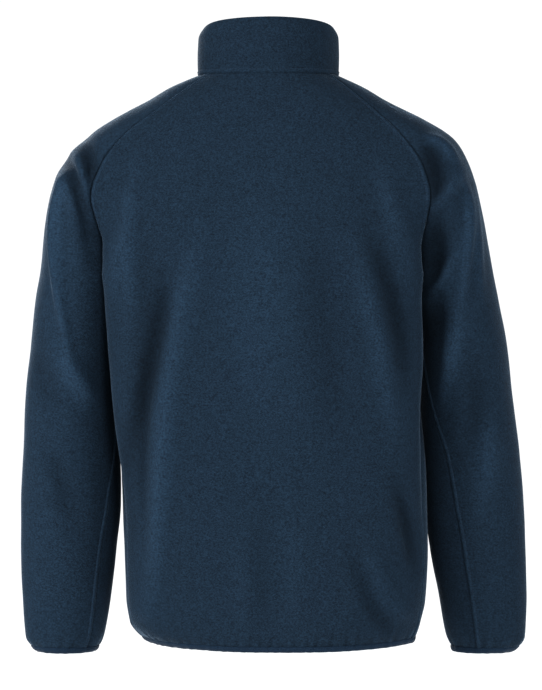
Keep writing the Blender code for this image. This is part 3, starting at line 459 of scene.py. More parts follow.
chest = body_point(BACK, LEFT, np.full((1, 1), -0.2), np.ones((1, 1)))[0, 0]
print("the left seam at chest height:", np.round(chest, 3))

# %% [markdown]
# ## Rows that crowd at the seams
#
# A seam's welt is 6 mm wide. A Subdivision Surface fine enough for it would waste most of its faces
# on the plain cloth between. So rows and columns are about 3 mm apart, and under 1 mm apart beside
# an edge. Columns are placed by their real distance along the cloth, which keeps a stitch line
# 6 mm from its seam however the panel narrows.

# %% Rows that crowd at the seams
EDGE_STEPS = np.array([0, 0.6, 1.3, 2.2, 3.3, 4.6, 5.5, 6.0, 6.5, 7.5, 9.2, 11.5, 14.5]) * MM
STITCH_STEP = 7  # the stitch line's place among the edge steps, 6 mm from the seam
HEM_STEPS = np.array([12, 9.5, 7.5, 6, 4.5, 3.2, 2.2, 1.3, 0.6, 0]) * MM
ROW_SPACING = 3.2 * MM
RAGLAN_LENGTH = 255 * MM
ARM_ROWS = 78  # from the last crowded row down to the armpit
NECK_FADE = 0.605  # the share of the raglan seam over which rows lose the neck seam's curve

crowded = EDGE_STEPS / RAGLAN_LENGTH
raglan_share = np.r_[crowded, np.linspace(crowded[-1], 1, ARM_ROWS)[1:]]
RAGLAN = len(raglan_share)


def seam_heights(face):
    """Heights along the raglan seam at the rows' shares of its length, from the neck down."""
    raglan = RAGLAN_BACK if face == BACK else RAGLAN_FRONT
    z = np.linspace(raglan.z[-1], raglan.z[0], 200) * MM
    line = np.stack([column(raglan, "x", z), column(raglan, "y", z), z], -1)
    along = np.r_[0, np.cumsum(np.linalg.norm(np.diff(line, axis=0), axis=1))]
    return np.interp(raglan_share * along[-1], along, z)


def body_rows(face):
    """For each row from the neck to the hem: its height in the middle, its height at the edge, and
    how much of the neck seam's curve it still has."""
    top = NECK_BACK_Z if face == BACK else NECK_FRONT_Z
    upper = seam_heights(face)
    share = (upper - ARMPIT_Z) / (upper[0] - ARMPIT_Z)
    count = int((HEM_EDGE_Z - ARMPIT_Z) / -ROW_SPACING)
    lower = np.linspace(ARMPIT_Z, HEM_EDGE_Z + HEM_STEPS[0], count)[1:]
    lower = np.r_[lower, HEM_EDGE_Z + HEM_STEPS[1:]]
    edge = np.r_[upper, lower + hem_rise(lower)]
    middle = np.r_[ARMPIT_Z + share * (top - ARMPIT_Z), lower]
    neck = np.clip(1 - np.r_[raglan_share, np.ones(len(lower))] / NECK_FADE, 0, 1) ** 2
    return middle, edge, neck


def lengths(points):
    """How far along each row its points lie."""
    steps = np.linalg.norm(np.diff(points, axis=1), axis=-1)
    return np.concatenate([np.zeros((len(points), 1)), np.cumsum(steps, axis=1)], axis=1)


def spread(make, samples, count, first=True, last=True):
    """Shares of each row whose points are evenly spaced along the cloth and crowd at the ends. It
    returns them with each point's distance from the row's start and from its end."""
    along = lengths(make(samples))
    total = along[:, -1:]
    start = EDGE_STEPS if first else np.zeros(1)
    end = EDGE_STEPS[::-1] if last else np.zeros(1)
    inner = np.linspace(0, 1, count + 2)[1:-1]
    reach = total - start[-1] - end[0]
    distance = np.concatenate(
        [start + 0 * total, start[-1] + reach * inner, total - end], axis=1
    )
    shares = np.array(
        [np.interp(d, a, s) for d, a, s in zip(distance, along, samples + 0 * along)]
    )
    return shares, distance, total - distance


BACK_ROWS, FRONT_ROWS = body_rows(BACK), body_rows(FRONT)
SAMPLES = np.linspace(0, 1, 241)[None, :]
print("rows:", len(BACK_ROWS[0]), "of which above the armpit:", RAGLAN)


# %% [markdown]
# ## The back and the fronts
#
# The back is cut in one piece and each front runs from the zip to its seams. They could be cut out
# of one mesh of the body, but then no column would follow a seam. So each panel is its own grid.
# Rows run down and columns run clockwise seen from above, on every panel. With one rule for all,
# the outward direction is always the cross product of the step across and the step down.

# %% The back and the fronts
HALF_BACK_COLUMNS, FRONT_COLUMNS, SLEEVE_COLUMNS = 60, 52, 88  # between the crowded ones


def back_grid():
    """The back panel: the right half reversed, then the left half."""
    halves = []
    for side in (RIGHT, LEFT):
        def make(t):
            return body_row(BACK, side, BACK_ROWS, t)
        t, _, from_seam = spread(make, SAMPLES, HALF_BACK_COLUMNS, first=False)
        halves.append((make(t), from_seam))
    grid = np.concatenate([halves[0][0][:, ::-1], halves[1][0][:, 1:]], axis=1)
    # Each seam's distances are measured on its own half. The other half counts as a metre away.
    right = np.concatenate([halves[0][1][:, ::-1], 1 + 0 * halves[1][1][:, 1:]], axis=1)
    left = np.concatenate([1 + 0 * halves[0][1], halves[1][1][:, 1:]], axis=1)
    return grid, right, left


def front_start(side, rows, distance):
    """The t at which each row of a front lies this far from the zip's middle."""
    x = body_row(FRONT, side, rows, SAMPLES)[..., 0]
    return np.array([[np.interp(distance, np.abs(row - row[0]), SAMPLES[0])] for row in x])


def front_grid(side):
    """A front panel, from its folded edge at the zip to the raglan and side seams."""
    def make(t):
        return body_row(FRONT, side, FRONT_ROWS, t)
    start = front_start(side, FRONT_ROWS, ZIP_HALF_OPENING)
    t, from_zip, from_seam = spread(make, start + (1 - start) * SAMPLES, FRONT_COLUMNS)
    turn = -int(side)
    return make(t)[:, ::turn], from_zip[:, ::turn], from_seam[:, ::turn]


panels = {"back": back_grid(), "front_left": front_grid(LEFT), "front_right": front_grid(RIGHT)}
print("points:", {name: made[0].shape[:2] for name, made in panels.items()})


# %% [markdown]
# ## The sleeves
#
# A raglan sleeve is one piece of cloth that runs up to the neck and is sewn to a tube under the
# arm. A bevelled curve would give a tube in one step, but its edges would miss the body's seams.
# So each row is an ellipse square to the arm. Above the armpit it is an open arc between the two
# raglan seams, and below it closes at the underarm seam.

# %% The sleeves
def raglan_seam(face, side):
    """The raglan seam as the body panel has it, folds and all."""
    rows = BACK_ROWS if face == BACK else FRONT_ROWS
    rows = [values[:RAGLAN] for values in rows]
    return body_row(face, side, rows, np.ones((RAGLAN, 1)))[:, 0]


def sleeve_ring(side, at, edges, u):
    """One smooth row of a sleeve: an ellipse in the plane square to the arm, from its back edge
    (u = 0) over the outer line to its front edge (u = 1). Above the armpit its ends are eased on
    to the raglan seam; below it the ellipse closes at the underarm seam. It returns the points,
    their outward directions and their turns round the ellipse."""

    def value(name):
        return float(smooth(SLEEVE.at, getattr(SLEEVE, name), at))

    tilt = math.radians(value("tilt"))
    radial = np.array([side * math.cos(tilt), 0, math.sin(tilt)])
    half_width, half_depth = value("half_width") * MM, value("half_depth") * MM
    outer = value("left" if side == LEFT else "right") * side
    middle = np.array([outer, value("y"), value("z")]) * MM - half_width * radial
    if edges:
        turns = [
            math.atan2((edge[1] - middle[1]) / half_depth, (edge - middle) @ radial / half_width)
            for edge in edges
        ]
        first, last = turns[0] % (2 * math.pi), turns[1] % (2 * math.pi) - 2 * math.pi
    else:
        first = math.radians(value("seam_left" if side == LEFT else "seam_right"))
        last = first - 2 * math.pi
    turn = first + (last - first) * u
    out, along = np.cos(turn)[:, None], np.sin(turn)[:, None]
    forward = np.array([0, 1.0, 0])
    point = middle + half_width * out * radial + half_depth * along * forward
    outward = unit(out * radial / half_width + along * forward / half_depth)
    if edges:
        near_back = np.clip(1 - 2 * u, 0, 1)[:, None] ** 2.5
        near_front = np.clip(2 * u - 1, 0, 1)[:, None] ** 2.5
        point = point + near_back * (edges[0] - point[0]) + near_front * (edges[1] - point[-1])
    return point, outward, turn


NECK_BLEND = 0.1  # the part of the sleeve's upper half that is blended on to the neck seam


def sleeve_row(side, at, edges, u):
    """A sleeve's row with its folds. The rows nearest the neck are moved by what brings the first
    one on to the neck seam, times (1 - at / NECK_BLEND) squared."""
    point, outward, turn = sleeve_ring(side, at, edges, u)
    # Beside a raglan seam the folds fade out, because the seam already has the body's own.
    window = 1 - np.exp(-((np.minimum(u, 1 - u) / 0.03) ** 2)) * ease(6 * max(1 - at, 0))
    folds = LEFT_FOLDS if side == LEFT else RIGHT_FOLDS
    for face in (BACK, FRONT):
        # A fold is on the half that faces its way, and not on the inner side beside the body.
        facing = ease(1.6 * face * np.sin(turn) + 0.2) * ease((np.cos(turn) + 0.85) / 0.45)
        height = fold_height(folds, face, point[:, 0], point[:, 2])
        point = point + outward * (height * facing * window)[:, None]
    if at < NECK_BLEND:
        turns = RAGLAN_BACK_TURN + u * (RAGLAN_FRONT_TURN - RAGLAN_BACK_TURN)
        seam = neck_point(turns) * (side, 1, 1)
        ends = [neck_point(turn) * (side, 1, 1) for turn in (RAGLAN_BACK_TURN, RAGLAN_FRONT_TURN)]
        point = point + (1 - at / NECK_BLEND) ** 2 * (seam - sleeve_ring(side, 0.0, ends, u)[0])
    return point


def sleeve_rows(side, stations, u):
    """Sleeve rows at these places along the arm, each at its own shares u."""
    seams = list(zip(raglan_seam(BACK, side), raglan_seam(FRONT, side)))
    u = u + np.zeros((len(stations), 1))
    edges = [seams[k] if at <= 1 else None for k, at in enumerate(stations)]
    return np.array([sleeve_row(side, at, edge, us) for at, edge, us in zip(stations, edges, u)])


LOWER_ARM = 480 * MM
SHARE_OF_MM = 0.0021  # how far along the lower arm one millimetre is
CUFF_STEPS = np.array([9.5, 7, 5, 3.5, 2.25, 1.25, 0.6, 0])  # mm above the fleece's lower edge
arm_rows = np.linspace(1, 1.96, int(LOWER_ARM / ROW_SPACING))[1:]
STATIONS = np.r_[raglan_share, arm_rows, CUFF_EDGE - CUFF_STEPS * SHARE_OF_MM]


def sleeve_grid(side):
    """A whole sleeve, its columns spread evenly along the cloth."""
    def make(u):
        return sleeve_rows(side, STATIONS, u)
    u, from_back, from_front = spread(make, SAMPLES[:, ::2], SLEEVE_COLUMNS)
    turn = int(side)
    return make(u)[:, ::turn], from_back[:, ::turn], from_front[:, ::turn]


panels |= {"sleeve_left": sleeve_grid(LEFT), "sleeve_right": sleeve_grid(RIGHT)}
print("sleeve rows:", len(STATIONS))


# %% [markdown]
# ## The collar
#
# A stand collar is a band sewn to the neck seam and doubled at its top. Spinning a profile would do
# for a round one, but a neck is oval and the collar is open in front. It is nearly a ruled surface:
# straight lines from the neck seam to a top ring that is a little smaller. Its doubled top edge is
# thick, so it rolls in there instead of ending sharp.

# %% The collar
COLLAR_CLOTH = 4.4 * MM
COLLAR_HEIGHT = 74 * MM
COLLAR_HALF_WIDTH = 89.5 * MM
COLLAR_BACK_DEPTH = 77 * MM
COLLAR_FRONT_DEPTH = 90 * MM
COLLAR_AXIS_Y = -9 * MM
COLLAR_BACK_Z = 67 * MM
COLLAR_SIDE_Z = 63.5 * MM
COLLAR_FRONT_Z = 28 * MM
COLLAR_CORNER = 3.4 * MM  # how much lower the top edge is at the sides of the neck


def collar_point(turn, up):
    """The stand collar: a straight line from the neck seam to the top ring, which is lower in front
    and, as the sine of the turn to the power 8, at the sides. A sine swell rounds it, and its top
    fifth rolls inwards by the way up squared, most at the sides."""
    angle = np.radians(turn)
    back = np.cos(angle) >= 0
    depth = np.where(back, COLLAR_BACK_DEPTH, COLLAR_FRONT_DEPTH) * np.cos(angle)
    front_z = COLLAR_SIDE_Z + (COLLAR_FRONT_Z - COLLAR_SIDE_Z) * np.abs(np.cos(angle)) ** 1.5
    back_z = COLLAR_SIDE_Z + (COLLAR_BACK_Z - COLLAR_SIDE_Z) * np.cos(angle) ** 2
    top_z = np.where(back, back_z, front_z)
    beside = np.sin(angle) ** 8
    top_z = top_z - COLLAR_CORNER * beside
    top = np.stack([COLLAR_HALF_WIDTH * np.sin(angle), COLLAR_AXIS_Y + depth, top_z], -1)
    bottom = neck_point(turn)
    up = np.asarray(up)[..., None]
    outward = np.stack([np.sin(angle), np.cos(angle), 0 * angle], -1)
    roll = np.clip((up - 0.8) / 0.2, 0, 1) ** 2
    swell = 1.0 * MM * np.sin(np.pi * up) - (1.2 + 4 * beside[..., None]) * MM * roll
    return bottom + (top - bottom) * up + outward * swell


def collar_turn_at(distance):
    """How far round the collar its front edge lies, for a distance from the zip's middle."""
    return 180 - math.degrees(math.asin(distance / NECK_HALF_WIDTH))


COLLAR_COLUMNS = 84  # of half the collar, past the crowded ones
COLLAR_TOP_ROWS, COLLAR_ROWS = 5, 18  # in the rolled-in top tenth, and below it
edge_turns = np.array([collar_turn_at(ZIP_HALF_OPENING + step) for step in EDGE_STEPS])
half_turns = np.r_[edge_turns, np.linspace(edge_turns[-1], 0, COLLAR_COLUMNS)[1:]]
collar_turns = np.r_[-half_turns, half_turns[-2::-1]]
edge_ups = EDGE_STEPS[::-1] / COLLAR_HEIGHT
upper_ups = np.linspace(1, 0.9, COLLAR_TOP_ROWS)
collar_ups = np.r_[upper_ups, np.linspace(0.9, edge_ups[0], COLLAR_ROWS)[1:], edge_ups[1:]]
collar_grid = collar_point(collar_turns[None, :], collar_ups[:, None] + 0 * collar_turns)
print("collar points:", collar_grid.shape[:2])

# %% [markdown]
# ## Sewing the panels together
#
# The panels stay separate pieces, as they are cut, instead of one merged mesh. Two that meet must
# agree on which way is out along the seam, or their walls would cross. So each pair shares one
# direction there, and both turn towards it over the last 15 mm.

# %% Sewing the panels together
def normals_of(grid, closed=False):
    """The outward direction at each point: the slope across times the slope down, as a cross
    product."""
    if closed:
        grid = np.concatenate([grid[:, -1:], grid, grid[:, :1]], axis=1)
    normals = unit(np.cross(np.gradient(grid, axis=1), np.gradient(grid, axis=0)))
    return normals[:, 1:-1] if closed else normals


def evened(directions, times=6):
    """Directions along a seam, averaged with their neighbours."""
    for _ in range(times):
        middle = unit(directions[1:-1] * 2 + directions[:-2] + directions[2:])
        directions = np.concatenate([directions[:1], middle, directions[-1:]])
    return directions


TURN_WIDTH = 15 * MM


def turned(normals, direction, distance):
    """Normals beside an edge, turned towards its shared direction by (1 - d / 15 mm) squared."""
    weight = np.clip(1 - distance / TURN_WIDTH, 0, 1)[..., None] ** 2
    return unit(normals * (1 - weight) + direction * weight)


grids = {name: made[0] for name, made in panels.items()}
first_edge = {name: made[1] for name, made in panels.items()}
last_edge = {name: made[2] for name, made in panels.items()}
# Distances were measured from the zip or from the back edge, so reversed columns swap the ends.
for name in ("front_left", "sleeve_right"):
    first_edge[name], last_edge[name] = last_edge[name], first_edge[name]
normals = {name: normals_of(grid) for name, grid in grids.items()}


def shared(points, *directions):
    """The common direction of panels along a seam. Near the armpit, where four panels meet, it
    leans down between the body and the sleeve."""
    near = np.exp(-(((points[:, 2] - ARMPIT_Z) / (14 * MM)) ** 2))[:, None]
    return evened(unit(sum(directions) + near * np.array([0, 0, -2.5])))


ABOVE, BELOW = slice(0, RAGLAN), slice(RAGLAN - 1, None)
ORDER = ["front_right", "sleeve_right", "back", "sleeve_left", "front_left"]
SEAMS = [(ABOVE, one, beside) for one, beside in zip(ORDER, ORDER[1:])]
SEAMS += [(BELOW, "front_right", "back"), (BELOW, "back", "front_left")]
SEAMS += [(BELOW, name, name) for name in ("sleeve_right", "sleeve_left")]
for part, one, beside in SEAMS:
    points = grids[one][part, -1]
    common = shared(points, normals[one][part, -1], normals[beside][part, 0])[:, None]
    normals[one][part] = turned(normals[one][part], common, last_edge[one][part])
    normals[beside][part] = turned(normals[beside][part], common, first_edge[beside][part])


def neck_turn(points):
    """How far round the neck seam's points lie, in degrees from centre back."""
    depth = np.where(points[:, 1] > AXIS_Y, NECK_BACK_DEPTH, NECK_FRONT_DEPTH)
    across, back = points[:, 0] / NECK_HALF_WIDTH, (points[:, 1] - AXIS_Y) / depth
    return np.degrees(np.arctan2(across, back))


def along_turns(turns, at, directions):
    """Directions known at some turns, read at others."""
    return np.stack([np.interp(turns, at, part) for part in directions.T], -1)


grids["collar"] = collar_grid
normals["collar"] = normals_of(grids["collar"])
first_edge["collar"] = lengths(grids["collar"])
last_edge["collar"] = first_edge["collar"][:, -1:] - first_edge["collar"]

from_top, from_bottom = {}, {}
for name, grid in grids.items():
    from_top[name] = lengths(grid.transpose(1, 0, 2)).T
    from_bottom[name] = from_top[name][-1:] - from_top[name]

neck = np.concatenate([neck_turn(grids[name][0]) for name in ORDER])
tops = np.concatenate([normals[name][0] for name in ORDER])
neck_out = evened(unit(along_turns(collar_turns, neck, tops) + normals["collar"][-1]), 12)
normals["collar"] = turned(normals["collar"], neck_out, from_bottom["collar"])
for name in ORDER:
    common = unit(along_turns(neck_turn(grids[name][0]), collar_turns, neck_out))
    normals[name] = turned(normals[name], common, from_top[name])
print("seams sewn:", len(SEAMS), "and the neck seam")

# %% [markdown]
# ## Pressed seams, soft waves and gathers
#
# A seam draws the cloth down into a ditch. A plain edge only rolls down into it. A topstitched edge
# has its spare cloth folded under it, so it also stands up as a welt, held down at the stitches.
# A texture could darken a line there, but only a real ditch catches the light from every side.

# %% Pressed seams, soft waves and gathers
def press(distance, stitched, deep=1.0):
    """How far the cloth stands out at a distance from a seam: less a bell 0.95 mm deep, times how
    deep the ditch is, and where it is topstitched plus a plateau 0.85 mm high less a narrower bell
    at 6 mm, where the thread holds it down."""
    d = distance / MM
    ditch = -0.95 * np.exp(-((d / 1.3) ** 2))
    welt = 0.85 * ease(d / 2.4) * ease((8.0 - d) / 2.6) - 0.75 * np.exp(-(((d - 6) / 0.75) ** 2))
    return (deep * ditch + stitched * welt) * MM


def undulation(points):
    """A broad unevenness of the cloth: products of sines of the place, with periods from 60 mm to
    520 mm, under 1 mm high. Beside the zip, which holds the cloth flat, it fades out."""
    x, y, z = np.moveaxis(points / MM, -1, 0)
    down = np.clip((NECK_FRONT_Z / MM - z) / ((NECK_FRONT_Z - HEM_Z) / MM), 0, 1)
    flat = np.where(y < 0, ease((np.abs(x - ZIP_LEAN / MM * down) - 8) / 34), 1)
    wide = np.sin(x / 41 + z / 83 + 0.7 * np.sin(z / 57)) * np.sin(z / 63 - y / 71 + 0.4)
    small = np.sin(x / 19 - z / 37 + 1.7) * np.sin(y / 21 + z / 53 + 0.4 * np.sin(x / 29))
    tiny = np.sin(x / 9.5 + z / 23 + 0.9) * np.sin(z / 13.5 - x / 31 + y / 17)
    return flat * (0.5 * wide + 0.32 * small + 0.13 * tiny) * MM


HEM_RING = (0.0, AXIS_Y, 180)  # the middle's x and y, and the radius in mm
CUFF_RINGS = {side: (side * 270 * MM, -34 * MM, 46) for side in (LEFT, RIGHT)}


def gathers(points, ring, from_edge):
    """Small puckers where the cloth is drawn in by elastic: sines of the distance round a ring,
    times exp(-(distance from the edge / 15 mm) squared)."""
    middle_x, middle_y, radius = ring
    around = np.arctan2(points[..., 0] - middle_x, points[..., 1] - middle_y) * radius
    wave = np.sin(around / 3.1 + 0.8 * np.sin(around / 11)) + 0.6 * np.sin(around / 1.9 + 2)
    return 0.42 * MM * wave * np.exp(-((from_edge / (15 * MM)) ** 2))


print("a stitched edge's height, mm:", np.round(press(np.array([0, 3, 6, 9]) * MM, 1) / MM, 2))

# %% [markdown]
# ## Colours and nodes
#
# Colours are chosen on a screen, so they are written as sRGB hex codes, but a shader counts in
# linear light. One function turns the one into the other, and one adds any node with its settings
# and its links. All noise is in object space, so a pattern runs across the seams without a break,
# and its scale is worked out from a real size.

# %% Colours and nodes
def hex_colour(code):
    """An sRGB hex colour as linear light: c / 12.92 below 0.04045, else ((c + 0.055) / 1.055)^2.4."""
    channels = [int(code[k : k + 2], 16) / 255 for k in (1, 3, 5)]
    return tuple(c / 12.92 if c <= 0.04045 else ((c + 0.055) / 1.055) ** 2.4 for c in channels)


def add_node(tree, kind, inputs=(), **settings):
    """Adds a shader node. Each input is a value, or another node's output to link from."""
    node = tree.nodes.new(kind)
    for key, value in settings.items():
        setattr(node, key, value)
    for socket, value in dict(inputs).items():
        if isinstance(value, bpy.types.NodeSocket):
            tree.links.new(value, node.inputs[socket])
        else:
            node.inputs[socket].default_value = value
    return node


def finish(name, roughness, metallic=0.0, **constants):
    """A new material with its tree and its Principled shader."""
    made = bpy.data.materials.new(name)
    made.use_nodes = True
    tree = made.node_tree
    shader = tree.nodes["Principled BSDF"]
    shader.inputs["Roughness"].default_value = roughness
    shader.inputs["Metallic"].default_value = metallic
    for socket, value in constants.items():
        shader.inputs[socket.replace("_", " ")].default_value = value
    return made, tree, shader


def to_the_metre(size):
    """How many features of this size fit in a metre: its inverse, to the nearest ten."""
    return round(1 / size, -1)


def mottled(tree, where, scale, dark, light, low=0.3, high=0.7):
    """Two colours mixed by noise with this many features to the metre."""
    noise = add_node(tree, "ShaderNodeTexNoise", {"Vector": where, "Scale": scale, "Detail": 3.0})
    ramp = add_node(tree, "ShaderNodeValToRGB", {"Fac": noise.outputs["Fac"]})
    ramp.color_ramp.elements[0].position = low
    ramp.color_ramp.elements[1].position = high
    ramp.color_ramp.elements[0].color = (*hex_colour(dark), 1)
    ramp.color_ramp.elements[1].color = (*hex_colour(light), 1)
    return ramp.outputs["Color"]


print("navy as linear light:", [round(c, 4) for c in hex_colour("#16222D")])


# %% [markdown]
# ## Brushed fleece
#
# Fleece is knitted from polyester and then brushed until loose fibres hide the knit. Two things
# make it read as fleece. It has no shine, and its loose fibres catch light at a grazing angle,
# which the Principled shader calls sheen. Hair particles could show each fibre, but at this
# distance they would only add weight.
#
# The fleece's colour also carries painted light and shade: it is lighter on the folds' ridges and on
# welts, and darker in troughs and in a seam's ditch. Each panel carries that as an attribute of its
# points.

# %% Brushed fleece
def fleece_finish():
    """Flecks 2 mm wide over clouds 8 mm wide, both times 1 + 0.55 times the painted light and shade
    attribute. The bump is tufts 1 mm wide on lumps 4 mm wide: single fibres are far too fine to show,
    so the nap is drawn as tufts."""
    made, tree, shader = finish(
        "brushed_navy_fleece", 0.95, Sheen_Weight=0.3, Sheen_Roughness=0.18, Specular_IOR_Level=0.05,
        Sheen_Tint=(*hex_colour("#9FB6CC"), 1),
    )
    place = add_node(tree, "ShaderNodeTexCoord").outputs["Object"]
    # The nap is drawn out a third wider than it is high.
    where = add_node(
        tree, "ShaderNodeMapping", {"Vector": place, "Scale": (0.85, 0.85, 1.15)}
    ).outputs["Vector"]
    flecks = mottled(tree, where, to_the_metre(2 * MM), "#0C131B", "#1B2A37", 0.285, 0.715)
    clouds = mottled(tree, where, to_the_metre(7.7 * MM), "#0F1820", "#16222D")
    both = add_node(tree, "ShaderNodeMix", data_type="RGBA", inputs={0: 0.3, 6: flecks, 7: clouds})
    # Painted light and shade: the colour is scaled up on ridges and welts and down in troughs and seam
    # ditches.
    painted_shading = add_node(tree, "ShaderNodeAttribute", attribute_name="painted_shading").outputs["Fac"]
    shade_factor = add_node(tree, "ShaderNodeMath", {0: painted_shading, 1: 0.55, 2: 1.0}, operation="MULTIPLY_ADD")
    shaded_colour = add_node(
        tree, "ShaderNodeVectorMath", {0: both.outputs[2], "Scale": shade_factor.outputs[0]}, operation="SCALE"
    )
    tree.links.new(shaded_colour.outputs["Vector"], shader.inputs["Base Color"])
    tufts = add_node(
        tree, "ShaderNodeTexNoise", {"Vector": where, "Scale": to_the_metre(1.05 * MM), "Detail": 3.0}
    )
    lumps = add_node(
        tree, "ShaderNodeTexNoise", {"Vector": where, "Scale": to_the_metre(3.85 * MM), "Detail": 2.0}
    )
    total = add_node(
        tree, "ShaderNodeMath", operation="MULTIPLY_ADD",
        inputs={0: lumps.outputs["Fac"], 1: 0.4, 2: tufts.outputs["Fac"]},
    )
    bump = add_node(
        tree, "ShaderNodeBump", {"Height": total.outputs[0], "Strength": 0.7, "Distance": 0.8 * MM}
    )
    tree.links.new(bump.outputs["Normal"], shader.inputs["Normal"])
    return made


FLEECE = fleece_finish()
print("finish:", FLEECE.name)


# %% [markdown]
# ## Elastic, tape, thread and metal
#
# The bindings are knitted elastic, whose fine ribs run across them, and the zip's tapes are woven
# a little finer. Modelled ribs would take more faces than the jacket, so a sine of the piece's own
# UV map raises them as bump. The thread is spun and matt. The teeth are moulded nylon, smooth but
# dull, and the slider, its tab and the box are die-cast metal with a dark satin coat.

# %% Elastic, tape, thread and metal
def ribbed_finish(name, dark, light, pitch, roughness, depth):
    """A knitted or woven tape: ribs this far apart, as the sine of 2 pi u / pitch for the u of its
    UV map, and this deep."""
    made, tree, shader = finish(
        name, roughness, Sheen_Weight=0.03, Sheen_Roughness=0.3, Specular_IOR_Level=0.05
    )
    uv = add_node(tree, "ShaderNodeUVMap", uv_map="cloth").outputs["UV"]
    split = add_node(tree, "ShaderNodeSeparateXYZ", {0: uv})
    where = add_node(tree, "ShaderNodeTexCoord").outputs["Object"]
    colours = mottled(tree, where, to_the_metre(1.43 * MM), dark, light)
    tree.links.new(colours, shader.inputs["Base Color"])
    turn = add_node(
        tree, "ShaderNodeMath", {0: split.outputs["X"], 1: 2 * math.pi / pitch}, operation="MULTIPLY"
    )
    wave = add_node(tree, "ShaderNodeMath", {0: turn.outputs[0]}, operation="SINE")
    bump = add_node(
        tree, "ShaderNodeBump", {"Height": wave.outputs[0], "Strength": 0.6, "Distance": depth}
    )
    tree.links.new(bump.outputs["Normal"], shader.inputs["Normal"])
    return made


def plain_finish(
    name, dark, light, roughness, metallic=0.0, scale=to_the_metre(3.3 * MM), grain=0.04 * MM,
    specular=0.5,
):
    """A plain finish: faint clouds of colour, 3.3 mm wide unless a scale is given, and a grain
    0.4 mm wide."""
    made, tree, shader = finish(name, roughness, metallic, Specular_IOR_Level=specular)
    where = add_node(tree, "ShaderNodeTexCoord").outputs["Object"]
    tree.links.new(mottled(tree, where, scale, dark, light), shader.inputs["Base Color"])
    noise = add_node(
        tree, "ShaderNodeTexNoise", {"Vector": where, "Scale": to_the_metre(0.4 * MM)}
    )
    bump = add_node(
        tree, "ShaderNodeBump", {"Height": noise.outputs["Fac"], "Strength": 0.4, "Distance": grain}
    )
    tree.links.new(bump.outputs["Normal"], shader.inputs["Normal"])
    return made


ELASTIC = ribbed_finish("navy_elastic_binding", "#101B27", "#172634", 1.5 * MM, 0.8, 0.25 * MM)
TAPE = ribbed_finish("navy_woven_zip_tape", "#0D1620", "#141F2B", 1.1 * MM, 0.75, 0.12 * MM)
THREAD = plain_finish("navy_thread", "#16212D", "#1F2D3C", 0.8, specular=0.15)
COIL = plain_finish("navy_moulded_zip_coil", "#0B131C", "#111B26", 0.55, specular=0.15)
METAL = plain_finish("gunmetal_zip_parts", "#1F2225", "#2A2D31", 0.4, 0.9)
print("finishes:", ", ".join(made.name for made in (ELASTIC, TAPE, THREAD, COIL, METAL)))

# %% [markdown]
# ## From points to cloth
#
# Each piece of cloth is one closed wall. A Solidify modifier would give it a thickness, but here the
# inner face is made on purpose, with only a soft trace of the seams, and the edges are rounded. A
# section through the wall is a loop: down the outer side, round the lower edge, up the inner side
# and round the top edge. Its UV map is in metres along the cloth, so a pattern has its real size.

# %% From points to cloth
SHARP_ANGLE = math.radians(55)


def add_piece(name, points, faces, material, uv=None, body="jacket"):
    """A named mesh at the origin, shaded smooth with its sharp edges kept, riding on a body."""
    mesh = bpy.data.meshes.new(name)
    mesh.from_pydata(points.reshape(-1, 3).tolist(), [], faces)
    if uv is not None:
        layer = mesh.uv_layers.new(name="cloth")
        corners = np.empty(len(mesh.loops), np.int32)
        mesh.loops.foreach_get("vertex_index", corners)
        layer.data.foreach_set("uv", uv.reshape(-1, 2)[corners].astype(np.float32).ravel())
    mesh.validate()
    mesh.update()
    mesh.shade_smooth()
    mesh.set_sharp_from_angle(angle=SHARP_ANGLE)
    mesh.materials.append(material)
    made = bpy.data.objects.new(name, mesh)
    bpy.context.scene.collection.objects.link(made)
    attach(made, body)
    return made


def half_round(start, end, beyond, steps):
    """Points round an edge: half an ellipse from one wall to the other, reaching this far beyond."""
    angle = np.linspace(0, np.pi, steps + 2)[1:-1, None, None]
    middle, arm = (start + end) / 2, (start - end) / 2
    return middle + arm * np.cos(angle) + beyond * np.sin(angle)


def wall(outer, inner, closed=False, top=0.0, bottom=0.0, steps=3):
    """A closed wall between two grids: its loop of rows, its faces and its UVs. Where top or bottom
    is above 0 that edge is rounded, reaching this far beyond. A closed wall joins its columns into
    a ring; an open one has its two ends filled, quad by quad from the outer face to the inner."""
    ring = [*outer]
    if bottom:
        away = unit(outer[-1] - outer[-2] + inner[-1] - inner[-2]) * bottom
        ring += [*half_round(outer[-1], inner[-1], away, steps)]
    ring += [*inner[::-1]]
    if top:
        away = unit(outer[0] - outer[1] + inner[0] - inner[1]) * top
        ring += [*half_round(inner[0], outer[0], away, steps)]
    ring = np.array(ring)
    rows, columns = ring.shape[:2]
    r = np.arange(rows)[:, None]
    c = np.arange(columns if closed else columns - 1)[None, :]
    below, beside = (r + 1) % rows, (c + 1) % columns
    corners = (r * columns + c, r * columns + beside, below * columns + beside, below * columns + c)
    faces = np.stack(corners, -1).reshape(-1, 4).tolist()
    if not closed:
        last = 2 * len(outer) - 1 + (steps if bottom else 0)
        strips = [(k, k + 1, last - k - 1, last - k) for k in range(len(outer) - 1)]
        if bottom:
            strips.append(tuple(range(len(outer) - 1, len(outer) + steps + 1)))
        if top:
            strips.append((0, *range(last, last + steps + 1)))
        faces += [tuple(row * columns for row in face) for face in strips]
        faces += [tuple(row * columns + columns - 1 for row in face[::-1]) for face in strips]
    across = np.cumsum(np.r_[0, np.linalg.norm(np.diff(ring[len(outer) // 2], axis=0), axis=1)])
    steps_down = np.linalg.norm(np.diff(ring[:, columns // 2], axis=0), axis=1)
    down = np.cumsum(np.r_[0, steps_down])
    uv = np.stack(np.broadcast_arrays(across[None, :], down[:, None]), -1)
    return ring, faces, uv


def area_of(grid):
    """The area of a grid of points, as the sum of its cells' cross products."""
    one = np.cross(grid[1:, 1:] - grid[:-1, :-1], grid[1:, :-1] - grid[:-1, 1:])
    return float(np.linalg.norm(one, axis=-1).sum() / 2)


